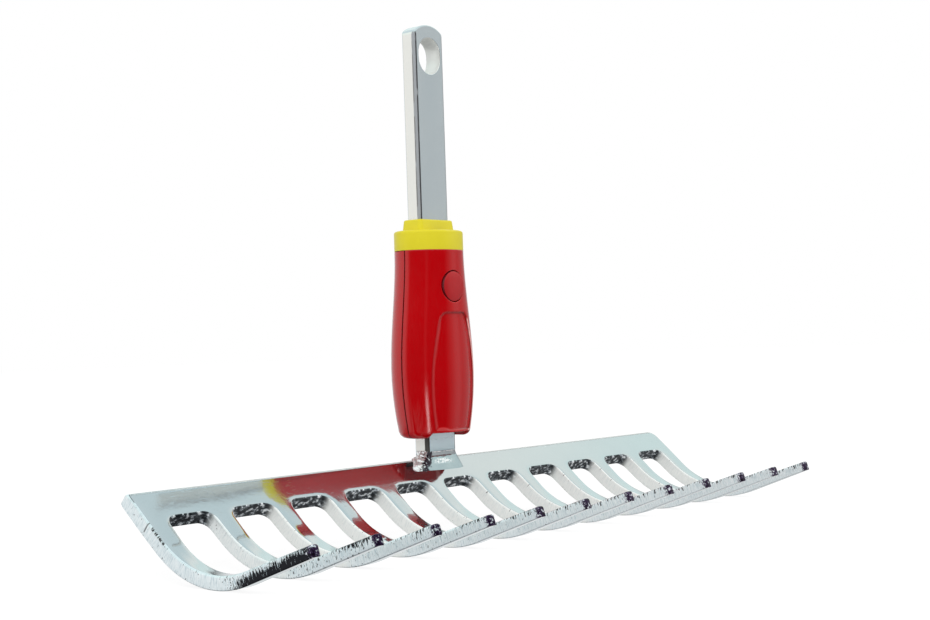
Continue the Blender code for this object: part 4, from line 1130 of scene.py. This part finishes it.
# %% [markdown]
# ## The grip's front shell
#
# The grip is two moulded half shells. The front one carries the round button's hole and a shallow
# panel for a label, which stays bare here. Its skin is an oval that swells from the collar to the
# belly and shrinks to the foot. A point of the skin is set by its height and by its angle round the
# oval, and then it is pressed inwards where the panel, the hole's edge or the seam's edge is.

# %% Grip shape
GRIP_TOP = -9.3 * MM
SHOULDER = -9.04 * MM
GRIP_LENGTH = 84.5 * MM
BELLY_DROP = 54.0 * MM
# Half width and half depth at the top, how much they swell to the belly, and fall to the foot.
HALF_WIDTH = (17.6 * MM, 4.25 * MM, 3.65 * MM)
HALF_DEPTH = (14.2 * MM, 1.7 * MM, 2.3 * MM)
FOOT_ROUND = 3.0 * MM
FOOT_START = GRIP_TOP - GRIP_LENGTH + FOOT_ROUND
PANEL_DEPTH = 1.15 * MM
PANEL_STEP = 1.25 * MM
# Height and half width of the panel, from its foot to its rounded top.
PANEL = np.array([(-91.0, 12.2), (-88.8, 12.6), (-85.4, 13.3), (-81.5, 14.0), (-75.5, 14.7),
                  (-69.4, 15.0), (-63.3, 14.7), (-58.4, 14.1), (-54.8, 13.4), (-50.3, 12.6),
                  (-45.5, 11.5), (-41.1, 10.1), (-38.9, 9.0), (-37.5, 7.5), (-37.0, 5.6)]) * MM
PANEL_FOOT, PANEL_TOP = PANEL[0, 0], PANEL[-1, 0]


def ease(value):
    """An S curve from 0 to 1."""
    value = np.clip(value, 0, 1)
    return value * value * (3 - 2 * value)


def oval_half_sizes(height):
    """Half width and half depth of the grip: an S-shaped swell, then a fall with the square."""
    drop = GRIP_TOP - height
    swell = ease(drop / BELLY_DROP)
    fall = np.clip((drop - BELLY_DROP) / (GRIP_LENGTH - BELLY_DROP), 0, 1) ** 2
    return [top + more * swell - less * fall for top, more, less in (HALF_WIDTH, HALF_DEPTH)]


def panel_inside(x, z):
    """Distance from the panel's outline, positive on the panel."""
    probe = 0.1 * MM
    half = np.interp(z, *PANEL.T)
    slope = (np.interp(z + probe, *PANEL.T) - half) / probe
    return np.minimum((half - np.abs(x)) / np.sqrt(1 + slope ** 2),
                      np.minimum(PANEL_TOP - z, z - PANEL_FOOT))


def panel_sink(x, z):
    """How far the panel lies below the skin: an S-shaped step, twice as long at the left, where
    it fades in below the panel's top."""
    gentle = ease((-x - 4 * MM) / (4 * MM)) * ease((PANEL_TOP - z) / (9 * MM))
    return PANEL_DEPTH * ease((panel_inside(x, z) + 0.1 * MM) / (PANEL_STEP * (1 + gentle)))


print("panel in mm:", np.round((PANEL_FOOT / MM, PANEL_TOP / MM), 1))

# %% [markdown]
# The button's hole is round and the net of points is square. So inside a window round the hole,
# the squares are bent into circles: a point's distance to the middle becomes that of its square.
# The rows and columns crowd in rings at the hole's edge.

# %% Net of the shell
SEAM_FACE = 0.95 * MM
SEAM_ROUND = 0.35 * MM
HOLE_MIDDLE = -25.7 * MM
BUTTON_HOLE = 7.2 * MM
HOLE_CHAMFER = 0.4 * MM
HOLE_STEPS = 32
WINDOW = 10.5 * MM
WINDOW_OVAL = 18.0 * MM
SIDE_COLUMNS, SIDE_CROWDING = 60, 1.5
UPPER_ROWS, LOWER_ROWS = 11, 167
ROUND_FADE = 0.24
rings = np.array([7.2, 7.23, 7.3, 7.42, 7.6, 7.9, 8.4, 9.0, 9.7, 10.5]) * MM
across_hole = np.linspace(-BUTTON_HOLE, BUTTON_HOLE, HOLE_STEPS + 1)[1:-1]
window = np.concatenate([-rings[::-1], across_hole, rings])
heights = np.concatenate([np.linspace(SHOULDER, HOLE_MIDDLE + WINDOW, UPPER_ROWS + 1)[:-1],
                          HOLE_MIDDLE - window,
                          np.linspace(HOLE_MIDDLE - WINDOW, FOOT_START, LOWER_ROWS + 1)[1:]])
beside = 1 - (1 - np.linspace(0, 1, SIDE_COLUMNS + 1)[1:]) ** SIDE_CROWDING
share_out = np.concatenate([-beside[::-1], np.zeros(len(window)), beside])
window_x = np.pad(window, SIDE_COLUMNS, mode="edge")


def skin(height, inset, sink=False):
    """Points of an oval skin. height and inset have one number per row."""
    z = np.broadcast_to(height[:, None], (len(height), len(window_x)))
    u, v = window_x / WINDOW, (z - HOLE_MIDDLE) / WINDOW
    ring = np.maximum(np.abs(u) + np.abs(share_out), np.abs(v))
    roundness = ease((1 - ring) / ROUND_FADE)
    grow = 1 + roundness * (ring / np.maximum(np.hypot(u, v), 1e-9) - 1)
    z = z + roundness * v * (grow - 1) * WINDOW
    half, deep = (size - inset[:, None] for size in oval_half_sizes(z))
    start = np.arcsin(window_x / WINDOW_OVAL)
    reach = np.arccos(SEAM_FACE / deep) - math.asin(WINDOW / WINDOW_OVAL)
    x = half * np.sin(start + share_out * reach)
    x = x + roundness * (u * grow * WINDOW - x)
    front = np.sqrt(np.maximum(1 - (x / half) ** 2, 0))
    y = -deep * front
    if sink:
        away = np.hypot(x, z - HOLE_MIDDLE)
        lip = np.clip((BUTTON_HOLE + HOLE_CHAMFER - away) / HOLE_CHAMFER, 0, 1)
        seam = np.clip((SEAM_ROUND + SEAM_FACE + y) / SEAM_ROUND, 0, 1)
        depth = panel_sink(x, z) + HOLE_CHAMFER * (1 - np.sqrt(1 - lip ** 2))
        depth = depth + SEAM_ROUND * (1 - np.sqrt(1 - seam ** 2))
        x = x * (1 - depth * (1 - roundness) / half)
        y = np.minimum(-(deep - depth) * front, -SEAM_FACE)
    return together(x, y, z)


print("net of the skin:", len(heights), "x", len(window_x))

# %% [markdown]
# The shell is two such skins with the same rows and columns: the outer one goes on over the
# rounded foot and under it to the tang's passage, and the inner one follows along the hollow.
# Ladders of faces close the two skins round their borders and round the button's hole.

# %% Two layers
SHELL_WALL = 2.8 * MM
LIP_INSET = 1.4 * MM
LIP_TOP = -4.9 * MM
NOTCH_HALF = 12.8 * MM
NOTCH_TOP = -91.5 * MM
NOTCH_EDGE = 0.3 * MM
PASSAGE = (10.3 * MM, 4.5 * MM)
# Below the foot the skin runs in to the notch's wall, up it, and in to the passage: half width and
# share of the way in y, row by row.
UNDER_ROWS = ((13.15 * MM, 0.1), (12.45 * MM, 0.2), (PASSAGE[0], 1.0))
foot_angle = np.radians([12, 24, 36, 48, 60, 70, 80, 90])


def outer_layer():
    """Lip, body and rounded foot, then the rows under the foot, lifted into the notch."""
    lip = skin(np.array([LIP_TOP, SHOULDER]), np.full(2, LIP_INSET))
    body = skin(heights, np.zeros(len(heights)), sink=True)
    foot = skin(FOOT_START - FOOT_ROUND * np.sin(foot_angle), FOOT_ROUND * (1 - np.cos(foot_angle)))
    under = []
    for reach, way in UNDER_ROWS:
        x, y, z = foot[-1].T
        y = y + (np.maximum(y, -PASSAGE[1]) - y) * way
        under.append(together(np.clip(x, -reach, reach), y, z))
    low = np.concatenate([foot, under])
    notch = ease((NOTCH_HALF + NOTCH_EDGE - np.abs(low[..., 0])) / (2 * NOTCH_EDGE))
    low[..., 2] += (np.maximum(low[..., 2], NOTCH_TOP) - low[..., 2]) * notch
    return np.concatenate([lip, body, low])


def inner_layer():
    """The skin a wall's thickness further in, and from its last row straight to the passage."""
    low = np.minimum(heights, SHOULDER - 0.3 * MM)
    inside = skin(np.append([LIP_TOP, SHOULDER], low), np.full(len(low) + 2, SHELL_WALL))
    x, y, z = inside[-1].T
    passage = together(np.clip(x, -PASSAGE[0], PASSAGE[0]), np.maximum(y, -PASSAGE[1]), z)
    share = np.linspace(0, 1, len(foot_angle) + len(UNDER_ROWS) + 1)[1:, None, None]
    return np.concatenate([inside, inside[-1] + (passage - inside[-1]) * share])


def border(index):
    """The numbers round a block of the net, once round."""
    return np.concatenate([index[0, :-1], index[:-1, -1], index[-1, :0:-1], index[:0:-1, 0]])


def two_layers(outer, inner, top, left):
    """Points and faces of two skins with a square hole. A ladder of faces closes the two round
    their border, and one round the hole."""
    rows, columns = outer.shape[:2]
    keep = np.ones((rows - 1, columns - 1), bool)
    keep[top:top + HOLE_STEPS, left:left + HOLE_STEPS] = False
    quads = grid_faces(rows, columns)[keep]
    faces = [quads, quads + rows * columns]
    index = np.arange(rows * columns).reshape(rows, columns)
    for block in (index, index[top:top + HOLE_STEPS + 1, left:left + HOLE_STEPS + 1]):
        one = border(block)
        other = one + rows * columns
        faces.append(together(one, np.roll(one, -1), np.roll(other, -1), other))
    return np.concatenate([outer.reshape(-1, 3), inner.reshape(-1, 3)]), np.concatenate(faces)


hole_top, hole_left = (first + len(rings) - 1 for first in (2 + UPPER_ROWS, SIDE_COLUMNS))
shell_points, shell_faces = two_layers(outer_layer(), inner_layer(), hole_top, hole_left)
print("shell points and faces:", len(shell_points), len(shell_faces))

# %% [markdown]
# ## The plastics
#
# Moulded plastic shows the tool that shaped it: a faint texture from the spark-eroded mould, slow
# unevenness where the wall shrank, and a gloss that is never quite even. The red is glossy and the
# yellow nearly matt. Over that the red gets a painted highlight on the panel's rim, and painted
# shade in the seam, on the panel's step and on the button's side.

# %% Plastic finishes


def srgb(red, green, blue):
    """A colour picked on a screen, 0 to 255, as the linear colour that a shader wants."""
    values = np.array([red, green, blue]) / 255
    low, high = values / 12.92, ((values + 0.055) / 1.055) ** 2.4
    return tuple(np.where(values <= 0.04045, low, high).tolist())


def moulded_plastic(name, pale, deep, roughness, grain):
    """A moulded finish between two close colours, with a roughness range and a grain strength."""
    f = Finish(name, pale, 0.0, roughness[0])
    place = f.place()
    f.set(Base_Color=f.mix(f.noise(place, 60, 3), pale, deep),
          Roughness=f.ramp(f.noise(place, 240, 3), (0.3, roughness[0]), (0.75, roughness[1])),
          Normal=f.bump((f.noise(place, 70, 2), 0.08, 0.0005),
                        (f.noise(place, 2600, 2), grain, 0.00004)))
    return f


def shell_red(name):
    """The shells' red, with painted shade in the seam between them."""
    f = moulded_plastic(name, srgb(189, 0, 9), srgb(181, 0, 6), (0.11, 0.16), 0.03)
    away = abs(f.place().parts()[1] + 0.8 * MM)
    # A dark line along the seam plane: painted shade in the gap between the shells.
    f.mark((away.span(0.22 * MM, 0.48 * MM, 0.72, 0.0), (0.12, 0.0, 0.0)))
    return f


def front_red():
    """The front shell's red. A pale painted highlight runs along the upper half of the panel's right
    rim, and painted shade darkens the panel's sunk step, most at the right.
    """
    f = shell_red("front_red")
    x, _, z = f.place().parts()
    inside = f.uv("zone")[1]
    # A pale line on the panel's right rim, in its upper half: a painted highlight.
    rim = abs(inside + 0.05).fall(0.25, 0.60) * x.span(8.6 * MM, 10.0 * MM)
    high = z.span(-0.066, -0.056, 0.85, 1.0) * z.fall(-0.041, -0.0395)
    # A dark band on the panel's sunk step, strongest at the right: painted shade.
    wall = inside.span(0.2, 0.5) * inside.span(0.9, 1.3, 0.6, 0.0)
    f.mark((rim * high, (0.95, 0.46, 0.42)),
           (wall * x.span(-2.0 * MM, 8.0 * MM, 0.35, 1.0), (0.14, 0.0, 0.0)))
    return f


def cap_red():
    """The button's red, with painted shade on the side of the cap."""
    f = moulded_plastic("button_red", srgb(184, 2, 14), srgb(176, 0, 12), (0.3, 0.38), 0.1)
    facing = f.out("TexCoord", "Normal").parts()[1]
    # Where the normal turns away from the front, on the cap's side, the red is darkened: painted
    # shade.
    f.mark((abs(facing).span(0.25, 0.6, 0.85, 0.0), (0.06, 0.0, 0.003)))
    return f


inside = panel_inside(shell_points[:, 0], shell_points[:, 2]) / MM
front_shell = finish_piece("front_shell", shell_points, shell_faces,
                           {"zone": together(inside, inside)}, [front_red().material])
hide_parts("housing_front")
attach(front_shell, "head")

# %% [markdown]
# ## The CAD's own parts
#
# The rear shell, the button, the collar and what is inside the grip keep their CAD solids. A CAD
# mesh comes as loose triangles with flat shading, so a small node tree first merges their corners,
# and then shades smoothly across every edge that bends less than a set angle. The mesh itself isn't
# touched. The latch and the fasteners are plain turned and stamped steel. They are seldom seen, but
# they get a finish with fine turning lines all the same.

# %% Dressed CAD nodes
SMOOTH_ANGLE = math.radians(30)
CORNER_DISTANCE = 0.001 * MM
STEEL_SHADE = 0.8


def smoothing_tree():
    """Merge by distance, all faces smooth, and edges sharp that bend more than the set angle."""
    tree = bpy.data.node_groups.new("merge_and_smooth", "GeometryNodeTree")
    for way in ("INPUT", "OUTPUT"):
        tree.interface.new_socket("Geometry", in_out=way, socket_type="NodeSocketGeometry")
    g = Graph(tree, "")
    merged = g.out("GeometryNodeMergeByDistance", 0, g.out("NodeGroupInput"),
                   Distance=CORNER_DISTANCE)
    smooth = g.out("GeometryNodeSetShadeSmooth", 0, merged, domain="FACE")
    angle = g.out("GeometryNodeInputMeshEdgeAngle", "Unsigned Angle")
    sharp = g.out("FunctionNodeCompare", 0, angle, SMOOTH_ANGLE, operation="GREATER_THAN")
    edges = g.out("GeometryNodeSetShadeSmooth", 0, smooth, domain="EDGE", Selection=sharp,
                  Shade_Smooth=False)
    g.add("NodeGroupOutput", edges)
    return tree


def plain_steel(name, colour, roughness):
    """Turned steel: cloudy between a colour and a darker one, with fine lines across Z."""
    f = Finish(name, colour, 1.0, roughness)
    place = f.place()
    f.set(Base_Color=f.mix(f.noise(place, 300, 3), colour, [STEEL_SHADE * c for c in colour]),
          Roughness=f.ramp(f.noise(place, 700, 3), (0.3, roughness), (0.7, roughness + 0.15)),
          Normal=f.bump((f.noise(f.place((1, 1, 12)), 900, 2), 0.2, 0.0001)))
    return f


yellow = moulded_plastic("yellow_plastic", srgb(228, 216, 28), srgb(222, 207, 14), (0.36, 0.46),
                         0.08)
steel = plain_steel("plain_steel", (0.55, 0.55, 0.56), 0.3)
DRESSES = {"housing_rear": shell_red("rear_red"), "push_button": cap_red(), "collar": yellow,
           "latch_lever": steel, "latch_pin": steel, "locating_pin": steel,
           "shell_screw_left": steel, "shell_screw_right": steel,
           "latch_spring": plain_steel("spring_steel", (0.30, 0.30, 0.31), 0.35)}
smoothing = smoothing_tree()
for name, finish in DRESSES.items():
    NODES[name].data.materials.clear()
    NODES[name].data.materials.append(finish.material)
    NODES[name].modifiers.new("merge_and_smooth", "NODES").node_group = smoothing
print("dressed", len(DRESSES), "of", len(NODES), "nodes")
